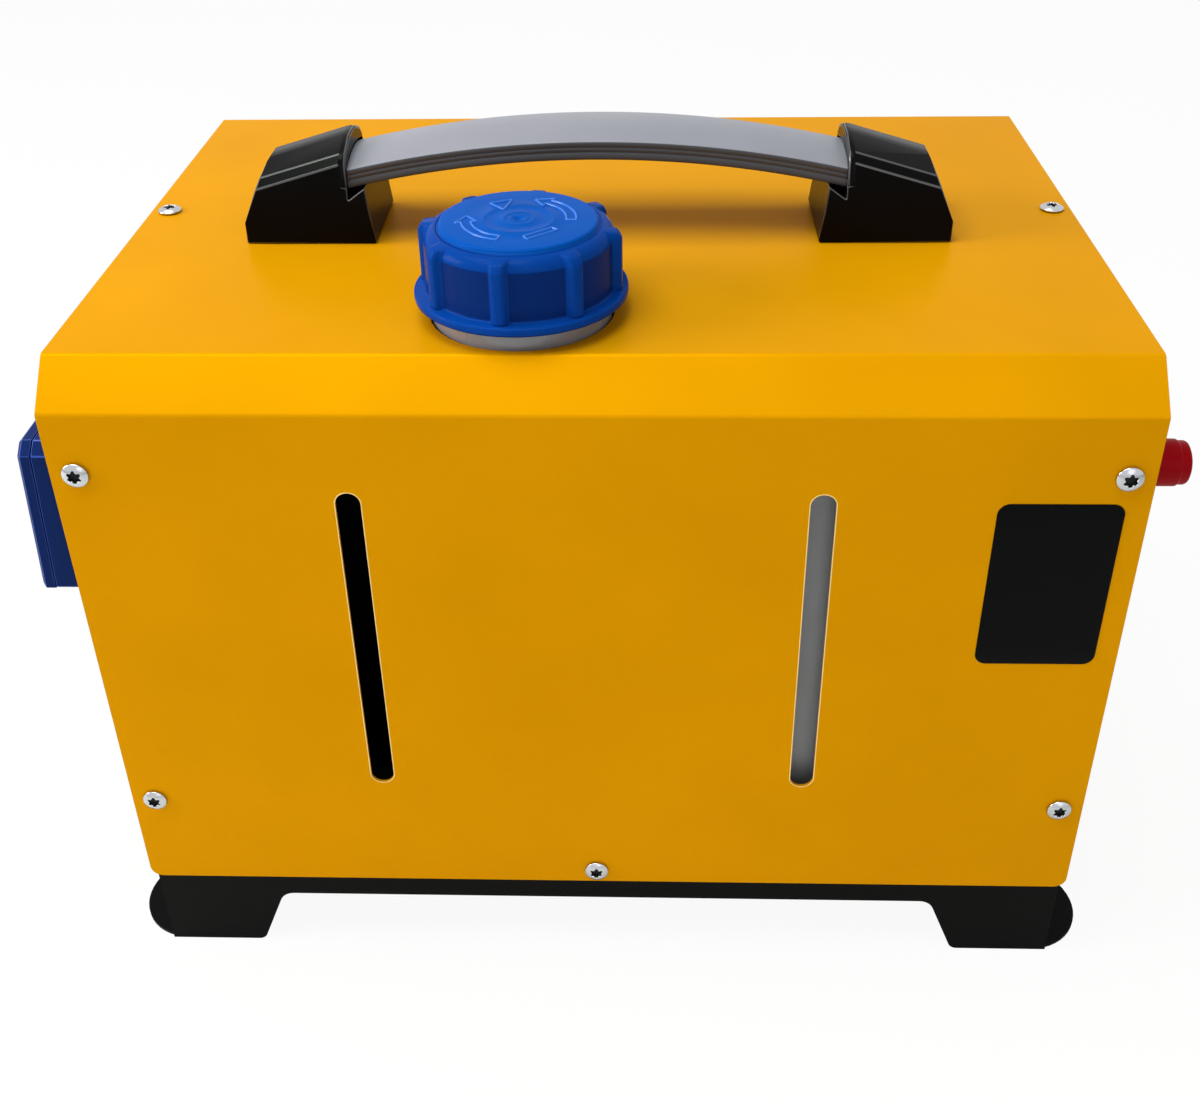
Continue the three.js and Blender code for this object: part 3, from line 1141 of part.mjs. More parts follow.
// Bezel: the face with a narrow bevelled rim, a window for the display and holes for the buttons.
function controllerBezel() {
  const rim = CTRL_SPLIT - GAP / 2;
  const rings = [[rim, 0], [CTRL_FACE + BEZEL_EDGE, 0], [CTRL_FACE, BEZEL_EDGE]].map(([x, inset]) =>
    ctrlOutline(inset).getPoints().map((p) => new THREE.Vector3(x, p.x, p.y)));
  const holes = buttonPlaces.map(([, dy, dz]) =>
    prismX(buttonShape(BUTTON_CLEAR), CTRL_FACE - 1, rim + 1).translate([0, CTRL_Y + dy, CTRL_Z + dz]));
  const window_ = prismX(rectangle(
    CTRL_Y - DISPLAY_W / 2, CTRL_Y + DISPLAY_W / 2, CTRL_Z - DISPLAY_H / 2, CTRL_Z + DISPLAY_H / 2, 2, 3),
  CTRL_FACE - 1, CTRL_FACE + DISPLAY_T + GAP);
  return leaning(cut(loft(rings), ...holes, window_));
}

function displayWindow() {
  const shape = rectangle(
    CTRL_Y - DISPLAY_W / 2 + GAP, CTRL_Y + DISPLAY_W / 2 - GAP,
    CTRL_Z - DISPLAY_H / 2 + GAP, CTRL_Z + DISPLAY_H / 2 - GAP, 2, 3);
  return leaning(prismX(shape, CTRL_FACE, CTRL_FACE + DISPLAY_T));
}

add('controller_back', controllerBack(), darkBluePlastic);
add('controller_bezel', controllerBezel(), darkBluePlastic);
add('controller_display', displayWindow(), darkGlass);
for (const [name, dy, dz] of buttonPlaces) {
  const key = leaning(prismX(buttonShape(0), 0, BUTTON_PROUD + BUTTON_DEEP), 0);
  const button = add(`button_${name}`, key, blackPlastic);
  button.position.set(CTRL_FACE - BUTTON_PROUD + CTRL_LEAN * dz, CTRL_Y + dy, CTRL_Z + dz);
}

// ---- terminals
const POST_X0 = PANEL_X + GAP;
const POST_X1 = POST_X0 + POST_L;
const WASHER_X = POST_X1 + GAP;
// Binding post: an insulating collar, a stud, a washer, and a knob with a slimmer end.
function terminal(color, y, material) {
  const group = new THREE.Group();
  group.position.set(0, y, POST_Z);
  heater.add(group);
  const bore = STUD_R + STUD_CLEAR;
  const post = turnedX(closedLoop([
    [bore, POST_X0], [POST_R, POST_X0], [POST_R, POST_X1 - 1], [POST_R - 1, POST_X1], [bore, POST_X1],
  ]), 0, 0, 24);
  add(`terminal_post_${color}`, post, material, group);
  add(`terminal_stud_${color}`, rodX(STUD_R, PANEL_X - STUD_IN, REACH_X - 4, 0, 0, 16), brass, group);
  const washer = turnedX(closedLoop([
    [bore, WASHER_X], [WASHER_R, WASHER_X], [WASHER_R, WASHER_X + WASHER_T], [bore, WASHER_X + WASHER_T],
  ]), 0, 0, 20);
  add(`terminal_washer_${color}`, washer, zincSteel, group);
  const shoulder = REACH_X - KNOB_END_L;
  const edge = [0, 30, 60, 90].map((deg) => {
    const a = THREE.MathUtils.degToRad(deg);
    return [KNOB_END_R - 2 * KNOB_EDGE * (1 - Math.cos(a)), REACH_X - KNOB_EDGE * (1 - Math.sin(a))];
  });
  const floor = WASHER_X + WASHER_T + GAP;
  const knob = turnedX([
    [0, REACH_X - 4 + GAP], [bore, REACH_X - 4 + GAP], [bore, floor], [WASHER_R + GAP, floor],
    [WASHER_R + GAP, WASHER_X], [KNOB_R, WASHER_X], [KNOB_R, shoulder - 0.4],
    [KNOB_END_R, shoulder], ...edge, [0, REACH_X],
  ], 0, 0, 32);
  add(`terminal_knob_${color}`, knob, material, group);
}
for (const [color, y] of postPlaces) {
  terminal(color, y, color === 'red' ? redPlastic : blackPlastic);
}

export default heater;
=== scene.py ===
# Portable diesel air heater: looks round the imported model.
# Metres, +X to the right seen from the front, +Y to the rear, +Z up.
import math

import bmesh
import bpy
import numpy as np
from mathutils import Matrix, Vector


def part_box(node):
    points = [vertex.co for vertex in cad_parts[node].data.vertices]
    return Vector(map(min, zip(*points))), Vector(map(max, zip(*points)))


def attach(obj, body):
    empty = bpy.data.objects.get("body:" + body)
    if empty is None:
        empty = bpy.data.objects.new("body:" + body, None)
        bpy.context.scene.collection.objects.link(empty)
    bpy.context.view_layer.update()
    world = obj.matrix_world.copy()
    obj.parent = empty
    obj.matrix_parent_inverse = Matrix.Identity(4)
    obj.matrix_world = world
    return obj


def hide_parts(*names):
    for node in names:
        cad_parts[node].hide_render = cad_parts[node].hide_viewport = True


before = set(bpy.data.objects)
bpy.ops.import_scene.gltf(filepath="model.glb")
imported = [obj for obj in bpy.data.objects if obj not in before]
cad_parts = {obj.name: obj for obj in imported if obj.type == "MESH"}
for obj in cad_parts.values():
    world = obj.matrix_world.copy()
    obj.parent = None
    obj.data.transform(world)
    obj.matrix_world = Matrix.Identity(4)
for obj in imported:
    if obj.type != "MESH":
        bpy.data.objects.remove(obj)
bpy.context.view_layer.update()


# ---- Camera
# The view of the photograph: from above and a little right of the middle of the front,
# close to the case, so that its top and front both show and its sides fall away.
CAMERA_AT = (0.01831, -0.57793, 0.51078)
CAMERA_TURN = (-2.271, 32.583, -0.991)  # yaw, pitch and roll, in degrees
CAMERA_LENS = 43.354  # millimetres, on a sensor 36 mm wide
CAMERA_SHIFT = -0.0421


def view_axes(yaw, pitch, roll):
    """Right, up and forward of a camera turned by yaw, tilted down by pitch, then rolled."""
    forward = np.array(
        [math.sin(yaw) * math.cos(pitch), math.cos(yaw) * math.cos(pitch), -math.sin(pitch)]
    )
    level = np.cross(forward, (0, 0, 1))
    level /= np.linalg.norm(level)
    upright = np.cross(level, forward)
    right = level * math.cos(roll) + upright * math.sin(roll)
    up = -level * math.sin(roll) + upright * math.cos(roll)
    return right, up, forward


scene = bpy.context.scene
scene.view_settings.view_transform = "Standard"
camera_data = bpy.data.cameras.new("camera")
camera_data.sensor_width = 36
camera_data.lens = CAMERA_LENS
camera_data.shift_y = CAMERA_SHIFT
camera = bpy.data.objects.new("camera", camera_data)
scene.collection.objects.link(camera)
right, up, forward = view_axes(*np.radians(CAMERA_TURN))
placed = np.eye(4)
placed[:3, :4] = np.stack([right, up, -forward, CAMERA_AT], 1)
camera.matrix_world = Matrix(placed.tolist())
scene.camera = camera


# ---- Floor and light
# A pale studio floor with a white surround, a wide soft lamp overhead, another at the left
# and a weak one in front. The overhead light is a little green beside the other two.
FLOOR_HALF = 4.0
FLOOR_GLOW = 0.93  # how much of the floor the camera sees as plain white
SURROUND_LIGHT = 0.37  # the white surround's strength, as dull surfaces see it


def linear(colour):
    """An sRGB hex colour as linear RGBA."""
    s = np.array([int(colour[i : i + 2], 16) / 255 for i in (1, 3, 5)])
    rgb = np.where(s <= 0.04045, s / 12.92, ((s + 0.055) / 1.055) ** 2.4)
    return (*rgb.tolist(), 1.0)


def add_node(tree, kind, settings=None, inputs=None):
    """Adds a node to a tree; an input is a value, or another node's output to link."""
    node = tree.nodes.new(kind)
    for key, value in (settings or {}).items():
        setattr(node, key, value)
    for key, value in (inputs or {}).items():
        if isinstance(value, bpy.types.NodeSocket):
            tree.links.new(value, node.inputs[key])
        else:
            node.inputs[key].default_value = value
    return node


def new_material(name):
    """An empty material's tree and its output node."""
    material = bpy.data.materials.new(name)
    material.use_nodes = True
    tree = material.node_tree
    tree.nodes.clear()
    return material, tree, add_node(tree, "ShaderNodeOutputMaterial")


def surface(name, points, around=False, round_on=False):
    """A mesh of a grid of points; around joins its last column to the first, round_on its rows."""
    rows, columns = points.shape[:2]
    first_row, first_column = np.meshgrid(
        np.arange(rows if round_on else rows - 1),
        np.arange(columns if around else columns - 1),
        indexing="ij",
    )
    low, high = first_row * columns, (first_row + 1) % rows * columns
    near, far = first_column, (first_column + 1) % columns
    faces = np.stack([low + near, low + far, high + far, high + near], -1)
    mesh = bpy.data.meshes.new(name)
    mesh.from_pydata(points.reshape(-1, 3).tolist(), [], faces.reshape(-1, 4).tolist())
    return tidy(mesh)


def tidy(mesh):
    """Merges doubled points, turns the faces outwards and shades them smooth."""
    work = bmesh.new()
    work.from_mesh(mesh)
    bmesh.ops.remove_doubles(work, verts=work.verts, dist=1e-6)
    bmesh.ops.dissolve_degenerate(work, edges=work.edges, dist=1e-7)
    bmesh.ops.recalc_face_normals(work, faces=work.faces)
    for face in work.faces:
        face.smooth = True
    work.to_mesh(mesh)
    work.free()
    return mesh


def shown(name, mesh, *materials):
    """An object at the origin with that mesh and those materials."""
    thing = bpy.data.objects.new(name, mesh)
    scene.collection.objects.link(thing)
    for material in materials:
        thing.data.materials.append(material)
    return thing


corners = np.array([[(-1, -1), (1, -1)], [(-1, 1), (1, 1)]]) * FLOOR_HALF
floor_points = np.dstack([corners, np.zeros((2, 2))])
studio_floor, tree, output = new_material("matt_white_floor")
lit = add_node(tree, "ShaderNodeBsdfDiffuse", inputs={"Color": linear("#F2F2F2")})
glow = add_node(tree, "ShaderNodeEmission", inputs={"Color": (1, 1, 1, 1), "Strength": 1.0})
path = add_node(tree, "ShaderNodeLightPath")
share = add_node(
    tree,
    "ShaderNodeMath",
    {"operation": "MULTIPLY"},
    {0: path.outputs["Is Camera Ray"], 1: FLOOR_GLOW},
)
mixed = add_node(tree, "ShaderNodeMixShader", inputs={0: share.outputs[0], 1: lit.outputs[0]})
tree.links.new(glow.outputs[0], mixed.inputs[2])
tree.links.new(mixed.outputs[0], output.inputs["Surface"])
floor = shown("floor", surface("floor", floor_points), studio_floor)

world = bpy.data.worlds.new("white_surround")
scene.world = world
world.use_nodes = True
tree = world.node_tree
tree.nodes.clear()
path = add_node(tree, "ShaderNodeLightPath")
straight = add_node(
    tree,
    "ShaderNodeMath",
    {"operation": "MAXIMUM"},
    {0: path.outputs["Is Camera Ray"], 1: path.outputs["Is Transmission Ray"]},
)
seen = add_node(
    tree,
    "ShaderNodeMath",
    {"operation": "MAXIMUM"},
    {0: path.outputs["Is Glossy Ray"], 1: straight.outputs[0]},
)
level = add_node(
    tree,
    "ShaderNodeMapRange",
    inputs={"Value": seen.outputs[0], "To Min": SURROUND_LIGHT, "To Max": 1.0},
)
surround = add_node(
    tree, "ShaderNodeBackground", inputs={"Color": (1, 1, 1, 1), "Strength": level.outputs[0]}
)
add_node(tree, "ShaderNodeOutputWorld", inputs={"Surface": surround.outputs[0]})


def soft_lamp(name, place, target, size, power, colour):
    """A square area lamp at a place, facing a target; power in watts, colour linear."""
    data = bpy.data.lights.new(name, "AREA")
    data.color = colour
    data.shape = "SQUARE"
    data.size = size
    data.energy = power
    lamp = bpy.data.objects.new(name, data)
    scene.collection.objects.link(lamp)
    back = np.subtract(place, target)
    back = back / np.linalg.norm(back)
    side = np.cross((0, 1, 0.001), back)  # that direction is never parallel to back
    side /= np.linalg.norm(side)
    placed = np.eye(4)
    placed[:3, :4] = np.stack([side, np.cross(back, side), back, place], 1)
    lamp.matrix_world = Matrix(placed.tolist())


soft_lamp("overhead_lamp", (-0.45, -0.25, 1.85), (0, 0, 0.2), 1.2, 25, (0.92, 1.05, 0.92))
soft_lamp("front_lamp", (0.6, -2.3, 1.2), (0, 0, 0.15), 1.3, 4.5, (1.0, 0.91, 0.9))
soft_lamp("left_lamp", (-1.9, -0.3, 1.0), (0, 0, 0.2), 0.9, 29, (1.0, 0.91, 0.9))


# ---- Base with four legs
# One steel pressing, folded and satin black: it carries the case and stands on four foot
# plates that are folded out sideways.
MM = 0.001
FLAT_WITHIN = 0.4  # degrees, below which two faces count as one flat area
PEEL_WAVE = 2.5 * MM  # orange peel in a powder coat
FILM_DRIFT = 62.5 * MM  # over which a coat's thickness drifts


def finished_copy(node, body, materials, edge=0.0, steps=2, angle=25.0, shortest=0.0):
    """Copy of a CAD node for show: doubled points merged, flat areas joined into one face each,
    and every edge sharper than angle, in degrees, rounded by edge, in metres, in the last of the
    materials. Edges below shortest stay sharp, so that all others can be rounded in full."""
    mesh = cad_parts[node].data.copy()
    mesh.name = node + "_finish"
    mesh.materials.clear()
    work = bmesh.new()
    work.from_mesh(mesh)
    bmesh.ops.remove_doubles(work, verts=work.verts, dist=2e-6)
    bmesh.ops.dissolve_limit(
        work, angle_limit=math.radians(FLAT_WITHIN), verts=work.verts, edges=work.edges
    )
    for face in work.faces:
        face.smooth = True
        face.material_index = 0
    weight = work.edges.layers.float.new("bevel_weight_edge")
    for line in work.edges:
        sharp = len(line.link_faces) == 2 and line.calc_face_angle() > math.radians(angle)
        line[weight] = float(sharp and line.calc_length() > shortest)
    work.to_mesh(mesh)
    work.free()
    for layer in list(mesh.uv_layers):
        mesh.uv_layers.remove(layer)
    thing = shown(node + "_finish", mesh, *materials)
    if edge:
        rounding = thing.modifiers.new("rounded_edges", "BEVEL")
        rounding.width = edge
        rounding.segments = steps
        rounding.limit_method = "WEIGHT"
        rounding.use_clamp_overlap = shortest == 0
        rounding.miter_outer = "MITER_ARC"
        rounding.material = len(materials) - 1
    shading = thing.modifiers.new("flat_faces_flat", "WEIGHTED_NORMAL")
    shading.mode = "FACE_AREA"
    shading.weight = 60
    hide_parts(node)
    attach(thing, body)
    return thing


def powder_coat(name, colour, roughness, peel, specular, coat, tinted=0.0):
    """Polyester powder coat on steel sheet: an even film with a faint orange peel, whose height
    is peel, in metres. tinted is the share of the gloss that takes the pigment's colour."""
    material, tree, output = new_material(name)
    place = add_node(tree, "ShaderNodeTexCoord")
    # orange peel: shallow waves that break up a highlight's rim
    waves = add_node(
        tree,
        "ShaderNodeTexNoise",
        inputs={"Vector": place.outputs["Object"], "Scale": 1 / PEEL_WAVE, "Detail": 1.5},
    )
    bump = add_node(
        tree,
        "ShaderNodeBump",
        inputs={"Height": waves.outputs[0], "Distance": peel, "Strength": 1.0},
    )
    # the film's thickness drifts, and takes the tone and the gloss with it
    drift = add_node(
        tree,
        "ShaderNodeTexNoise",
        inputs={"Vector": place.outputs["Object"], "Scale": 1 / FILM_DRIFT, "Detail": 2.0},
    )
    pigment = np.array(linear(colour)[:3])
    tone = add_node(tree, "ShaderNodeValToRGB", inputs={0: drift.outputs[0]})
    for stop, at, share in zip(tone.color_ramp.elements, (0.3, 0.7), (0.965, 1.03)):
        stop.position = at
        stop.color = (*np.minimum(pigment * share, 1), 1)
    rough = add_node(
        tree,
        "ShaderNodeMapRange",
        inputs={"Value": drift.outputs[0], "To Min": roughness - 0.03, "To Max": roughness + 0.03},
    )
    film = add_node(
        tree,
        "ShaderNodeBsdfPrincipled",
        inputs={
            "Base Color": tone.outputs[0],
            "Roughness": rough.outputs[0],
            "Normal": bump.outputs[0],
            "IOR": 1.5,
            "Specular IOR Level": specular,
            "Metallic": tinted,
            "Specular Tint": (*pigment, 1) if tinted else (1, 1, 1, 1),
            "Coat Weight": coat,
            "Coat Roughness": 0.12,
        },
    )
    tree.links.new(film.outputs[0], output.inputs["Surface"])
    return material


# satin black: an even, deep film with soft highlights
black_coat = powder_coat("satin_black_powder_coat", "#070708", 0.42, 0.012 * MM, 0.05, 0.0)
finished_copy("base", "case", [black_coat], 0.4 * MM)


# ---- Heater core and fuel line
# The pieces inside the case: a moulded shell round a cast exchanger with its blower, and
# the short fuel line. They are seen only through the slots, the inlet and the outlet.
TONE_DRIFT = 33.333 * MM  # over which a moulding's tone drifts


def moulded(name, colour, roughness, grain, depth, drift=0.05, **shine):
    """Moulded plastic: one colour with a slight drift and a fine moulded grain. grain is the
    size of the pattern and depth its height, in metres; shine holds further shader sockets."""
    material, tree, output = new_material(name)
    place = add_node(tree, "ShaderNodeTexCoord")
    fine = add_node(
        tree,
        "ShaderNodeTexNoise",
        inputs={"Vector": place.outputs["Object"], "Scale": 1 / grain, "Detail": 3.0},
    )
    bump = add_node(
        tree,
        "ShaderNodeBump",
        inputs={"Height": fine.outputs[0], "Distance": depth, "Strength": 1.0},
    )
    broad = add_node(
        tree,
        "ShaderNodeTexNoise",
        inputs={"Vector": place.outputs["Object"], "Scale": 1 / TONE_DRIFT, "Detail": 2.0},
    )
    pigment = np.array(linear(colour)[:3])
    tone = add_node(tree, "ShaderNodeValToRGB", inputs={0: broad.outputs[0]})
    for stop, at, share in zip(tone.color_ramp.elements, (0.3, 0.7), (1 - drift, 1 + drift)):
        stop.position = at
        stop.color = (*np.minimum(pigment * share, 1), 1)
    rough = add_node(
        tree,
        "ShaderNodeMapRange",
        inputs={"Value": broad.outputs[0], "To Min": roughness - 0.05, "To Max": roughness + 0.05},
    )
    body = add_node(
        tree,
        "ShaderNodeBsdfPrincipled",
        inputs={
            "Base Color": tone.outputs[0],
            "Roughness": rough.outputs[0],
            "Normal": bump.outputs[0],
            "IOR": 1.49,
            **shine,
        },
    )
    tree.links.new(body.outputs[0], output.inputs["Surface"])
    return material


def metal(name, colour, roughness, grain, depth):
    """Bare metal with a fine surface texture; grain and depth in metres."""
    material, tree, output = new_material(name)
    place = add_node(tree, "ShaderNodeTexCoord")
    fine = add_node(
        tree,
        "ShaderNodeTexNoise",
        inputs={"Vector": place.outputs["Object"], "Scale": 1 / grain, "Detail": 4.0},
    )
    bump = add_node(
        tree,
        "ShaderNodeBump",
        inputs={"Height": fine.outputs[0], "Distance": depth, "Strength": 1.0},
    )
    rough = add_node(
        tree,
        "ShaderNodeMapRange",
        inputs={"Value": fine.outputs[0], "To Min": roughness - 0.08, "To Max": roughness + 0.08},
    )
    body = add_node(
        tree,
        "ShaderNodeBsdfPrincipled",
        inputs={
            "Base Color": linear(colour),
            "Metallic": 1.0,
            "Roughness": rough.outputs[0],
            "Normal": bump.outputs[0],
        },
    )
    tree.links.new(body.outputs[0], output.inputs["Surface"])
    return material


# glass fibres leave the nylon's skin dull and a little coarse
glass_nylon = moulded("black_glass_filled_nylon", "#16171A", 0.55, 0.6 * MM, 0.03 * MM)
# as it comes from the mould: grey, with a rough skin that spreads the light
cast_metal = metal("as_cast_aluminium", "#9A9DA0", 0.5, 1.2 * MM, 0.05 * MM)
# drawn or turned: smooth, with soft highlights
drawn_steel = metal("drawn_stainless_steel", "#9EA0A2", 0.35, 0.8 * MM, 0.01 * MM)
turned_brass = metal("turned_brass", "#B8923A", 0.3, 0.8 * MM, 0.008 * MM)
# bright plating: nearly white, and nearly a mirror
zinc = metal("bright_zinc_plate", "#BEC1C6", 0.2, 0.6 * MM, 0.006 * MM)
# extruded: the rubber is matt, the nylon satin
hose_rubber = moulded("black_fuel_hose_rubber", "#1B1B1C", 0.8, 0.8 * MM, 0.03 * MM)
line_nylon = moulded("black_nylon_line", "#161718", 0.4, 0.8 * MM, 0.008 * MM)


def dress(material, *nodes):
    """Gives CAD nodes, whose shape is right, a finish."""
    for node in nodes:
        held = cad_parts[node].data.materials
        held.clear()
        held.append(material)


dress(glass_nylon, "core_shell_lower", "core_shell_upper", "control_box", "air_impeller")
dress(cast_metal, "heat_exchanger", "blower_motor", "combustion_air_stub", "combustion_impeller")
dress(drawn_steel, "burner_tube", "glow_plug", "exhaust_stub", "blower_shaft")
dress(turned_brass, "tank_outlet")
dress(zinc, "fuel_pump")
dress(hose_rubber, "tank_hose", "pump_hose", "pump_clamp")
dress(line_nylon, "fuel_filter", "fuel_line")
finished_copy("outlet_hood", "case", [glass_nylon])


# ---- Fuel tank
# Blow moulded polyethylene, grey-white and a little translucent: its front shows in the
# right slot, and its neck is the pale ring under the cap.
NECK_FOOT = 262.0 * MM


def face_centres(mesh):
    """The middle of each face, as rows of x, y and z."""
    return np.array([face.center for face in mesh.polygons])


def give_materials(mesh, numbers):
    """Sets which of the object's materials each face has."""
    mesh.polygons.foreach_set("material_index", numbers.astype(np.int32))


# a blown skin is satin and a little uneven, and light goes a short way into it
tank_plastic = moulded(
    "blow_moulded_polyethylene",
    "#8C9097",
    0.42,
    2.5 * MM,
    0.04 * MM,
    **{
        "Subsurface Weight": 0.25,
        "Subsurface Radius": (2 * MM, 2 * MM, 2 * MM),
        "Subsurface Scale": 1.0,
    },
)
# the neck is pressed to size and trimmed, so it is smoother than the walls
neck_plastic = moulded("trimmed_neck_of_polyethylene", "#8A8C92", 0.26, 2.5 * MM, 0.01 * MM)
tank = finished_copy(
    "fuel_tank", "case", [tank_plastic, neck_plastic], 0.3 * MM, angle=50
)
give_materials(tank.data, face_centres(tank.data)[:, 2] > NECK_FOOT)


# ---- Cover and side panels
# Folded steel sheet, glossy yellow powder coat. The pale lines round the slots and along the
# rims are painted highlight: a paler yellow on rounded edges, and beads round the slots.
SLOT_HALF = 4.6 * MM
SLOT_X = (-89.3 * MM, 80.5 * MM)  # middle of the left and of the right slot
SLOT_Z = (97.0 * MM, 236.5 * MM)  # their lower and upper ends
SLOT_HIGHLIGHT_W = 0.42 * MM  # pale line round a slot
SLOT_HIGHLIGHT_H = 0.12 * MM
SLOT_HIGHLIGHT_SUNK = 0.03 * MM  # how far its rims lie in the sheet
PEEL = 0.009 * MM
cover_low, cover_high = (np.array(corner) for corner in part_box("cover"))


def slot_highlight_points(x):
    """A bead round a slot, c + (half + width (1 + t) / 2) (cos a, sin a), with c the middle of
    the slot's upper or lower end. It stands out by height sqrt(1 - t^2), less its sunk foot."""
    turn = np.linspace(0, 2 * math.pi, 64, endpoint=False)[None, :]
    t = np.linspace(-1, 1, 9)[:, None]
    out = SLOT_HALF + SLOT_HIGHLIGHT_W * (1 + t) / 2
    middle = np.where(np.sin(turn) > 0, SLOT_Z[1] - SLOT_HALF, SLOT_Z[0] + SLOT_HALF)
    front = cover_low[1] + SLOT_HIGHLIGHT_SUNK - SLOT_HIGHLIGHT_H * np.sqrt(1 - t**2) + 0 * turn
    return np.dstack([x + out * np.cos(turn), front, middle + out * np.sin(turn)])


# a thick even film: deep yellow, with highlights that take the pigment's colour
yellow_coat = powder_coat("gloss_yellow_powder_coat", "#DA9402", 0.3, PEEL, 0.012, 0.0, 0.12)
# a paler yellow on rounded and cut edges and on the slot beads: painted highlight
yellow_painted_highlight = powder_coat("pale_yellow_painted_highlight_on_edges", "#F8D78C", 0.3, PEEL, 0.3, 0.1)
# rounded edges of the cover and panels in the paler yellow: painted highlight
for node in ("cover", "side_panel_left", "side_panel_right"):
    finished_copy(node, "case", [yellow_coat, yellow_painted_highlight], 0.45 * MM)
# a bead round each slot in the paler yellow: painted highlight
for side, x in zip(("left", "right"), SLOT_X):
    mesh = surface("slot_painted_highlight_" + side, slot_highlight_points(x), around=True)
    rim = shown("slot_painted_highlight_" + side, mesh, yellow_painted_highlight)
    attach(rim, "case")


# ---- Cover screws
# Zinc plated pan heads with a six-lobe recess, whose floor carries painted shade. One head
# is worked out as a height over a disc and set at each of the nodes' places.
HEAD_R = 4.9 * MM
HEAD_H = 2.6 * MM
HEAD_SIDE = 0.42  # height of its upright side, as a share of the whole
RECESS_R = 2.25 * MM
RECESS_LOBE = 0.42 * MM
RECESS_DEPTH = 1.6 * MM
RECESS_WALL = 0.3 * MM  # width over which its wall goes down
FIRST_TURN = 0.5  # how far the first screw is turned, and each next one, in radians
NEXT_TURN = 2.1
FRONT_AXES = np.array([[1, 0, 0], [0, 0, 1], [0, -1, 0]])
REAR_AXES = np.array([[-1, 0, 0], [0, 0, 1], [0, 1, 0]])


def screw_head():
    """Rings from an undercut foot up the side and over the crown, whose height is H (side + (1 -
    side) (1 - (r / R)^2.6)), less a recess inside r = recess + lobe cos(6 turn)."""
    turn = np.linspace(0, 2 * math.pi, 96, endpoint=False)
    crown = np.linspace(0.97, 0, 44) * HEAD_R
    foot = np.array([[0, 0.02], [0.9, 0.02], [0.9, 0.16], [1, 0.2], [1, 0.38]]) * (HEAD_R, HEAD_H)
    radius = np.concatenate([foot[:, 0], crown])[:, None]
    top = HEAD_H * (HEAD_SIDE + (1 - HEAD_SIDE) * (1 - (crown / HEAD_R) ** 2.6))
    height = np.concatenate([foot[:, 1], top])[:, None]
    rim = RECESS_R + RECESS_LOBE * np.cos(6 * turn)
    inside = np.clip((rim - radius) / RECESS_WALL + 0.5, 0, 1)
    inside[: len(foot)] = 0
    inside = inside * inside * (3 - 2 * inside)
    return np.dstack(
        [radius * np.cos(turn), radius * np.sin(turn), height - RECESS_DEPTH * inside]
    )


def turned(points, angle):
    """Points turned about Z."""
    cos, sin = math.cos(angle), math.sin(angle)
    return points @ np.array([[cos, sin, 0], [-sin, cos, 0], [0, 0, 1]])


# the recess's floor: a dark, dull copy of the metal, painted shade
recess_shade = metal("painted_shade_in_zinc_plated_recess", "#2B2C2E", 0.6, 0.6 * MM, 0.01 * MM)
head = screw_head()
for number, node in enumerate(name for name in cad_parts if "_screw_" in name):
    low, high = (np.array(corner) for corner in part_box(node))
    middle = (low + high) / 2
    if node.startswith("top"):
        axes, seat = np.eye(3), (middle[0], middle[1], cover_high[2])
    elif node.startswith("front"):
        axes, seat = FRONT_AXES, (middle[0], cover_low[1], middle[2])
    else:
        axes, seat = REAR_AXES, (middle[0], cover_high[1], middle[2])
    points = turned(head, FIRST_TURN + NEXT_TURN * number) @ axes + seat
    mesh = surface(node + "_head", points, around=True)
    screw = shown(node + "_head", mesh, zinc, recess_shade)
    across, deep = np.split((face_centres(mesh) - seat) @ axes.T, [2], axis=1)
    out = np.linalg.norm(across, axis=1)
    in_recess = deep[:, 0] < HEAD_H - 0.5 * RECESS_DEPTH
    # faces down in the recess take the painted shade
    give_materials(mesh, (out < RECESS_R + RECESS_LOBE) & in_recess)
    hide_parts(node)
    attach(screw, "case")


# ---- Data plate
# A bare black vinyl plate with rounded corners, on the front below the upper right screw.
PLATE_X = (141.8 * MM, 186.6 * MM)
PLATE_Z = (161.4 * MM, 233.2 * MM)
PLATE_R = 4.5 * MM
PLATE_T = 0.25 * MM
PLATE_SUNK = 0.02 * MM  # how far its back lies in the paint


def rounded_rectangle(width, height, radius, steps=10):
    """Points round a rectangle with rounded corners, about its middle."""
    arc = np.linspace(0, math.pi / 2, steps)
    corner = np.stack([np.cos(arc), np.sin(arc)], -1) * radius
    reach = (width / 2 - radius, height / 2 - radius)
    centres = np.array([(1, 1), (-1, 1), (-1, -1), (1, -1)]) * reach
    turns = np.array([[[1, 0], [0, 1]], [[0, 1], [-1, 0]], [[-1, 0], [0, -1]], [[0, -1], [1, 0]]])
    return np.concatenate([corner @ turn + centre for turn, centre in zip(turns, centres)])


def plate_points():
    """Rings from the back's rim over the rounded front edge to the middle of the face."""
    width, height = PLATE_X[1] - PLATE_X[0], PLATE_Z[1] - PLATE_Z[0]
    rings = []
    for inset, rise in [(0.0, 0.02), (0.0, 0.6), (0.06 * MM, 0.9), (0.2 * MM, 1.0)]:
        ring = rounded_rectangle(width - 2 * inset, height - 2 * inset, PLATE_R - inset)
        rings.append(np.c_[ring, np.full(len(ring), rise * PLATE_T)])
    face = [rings[-1] * (share, share, 1) for share in (0.75, 0.5, 0.25, 0)]
    points = np.array([rings[0] * (0, 0, 1), *rings, *face])
    middle = (np.mean(PLATE_X), cover_low[1] - PLATE_SUNK, np.mean(PLATE_Z))
    return points @ FRONT_AXES + middle


# printed film with a satin varnish: an even black with soft highlights
plate_vinyl = moulded(
    "black_satin_vinyl",
    "#060608",
    0.32,
    1.2 * MM,
    0.004 * MM,
    drift=0.02,
    **{"Specular IOR Level": 0.05},
)
plate = shown("data_plate", surface("data_plate", plate_points(), around=True), plate_vinyl)
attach(plate, "case")


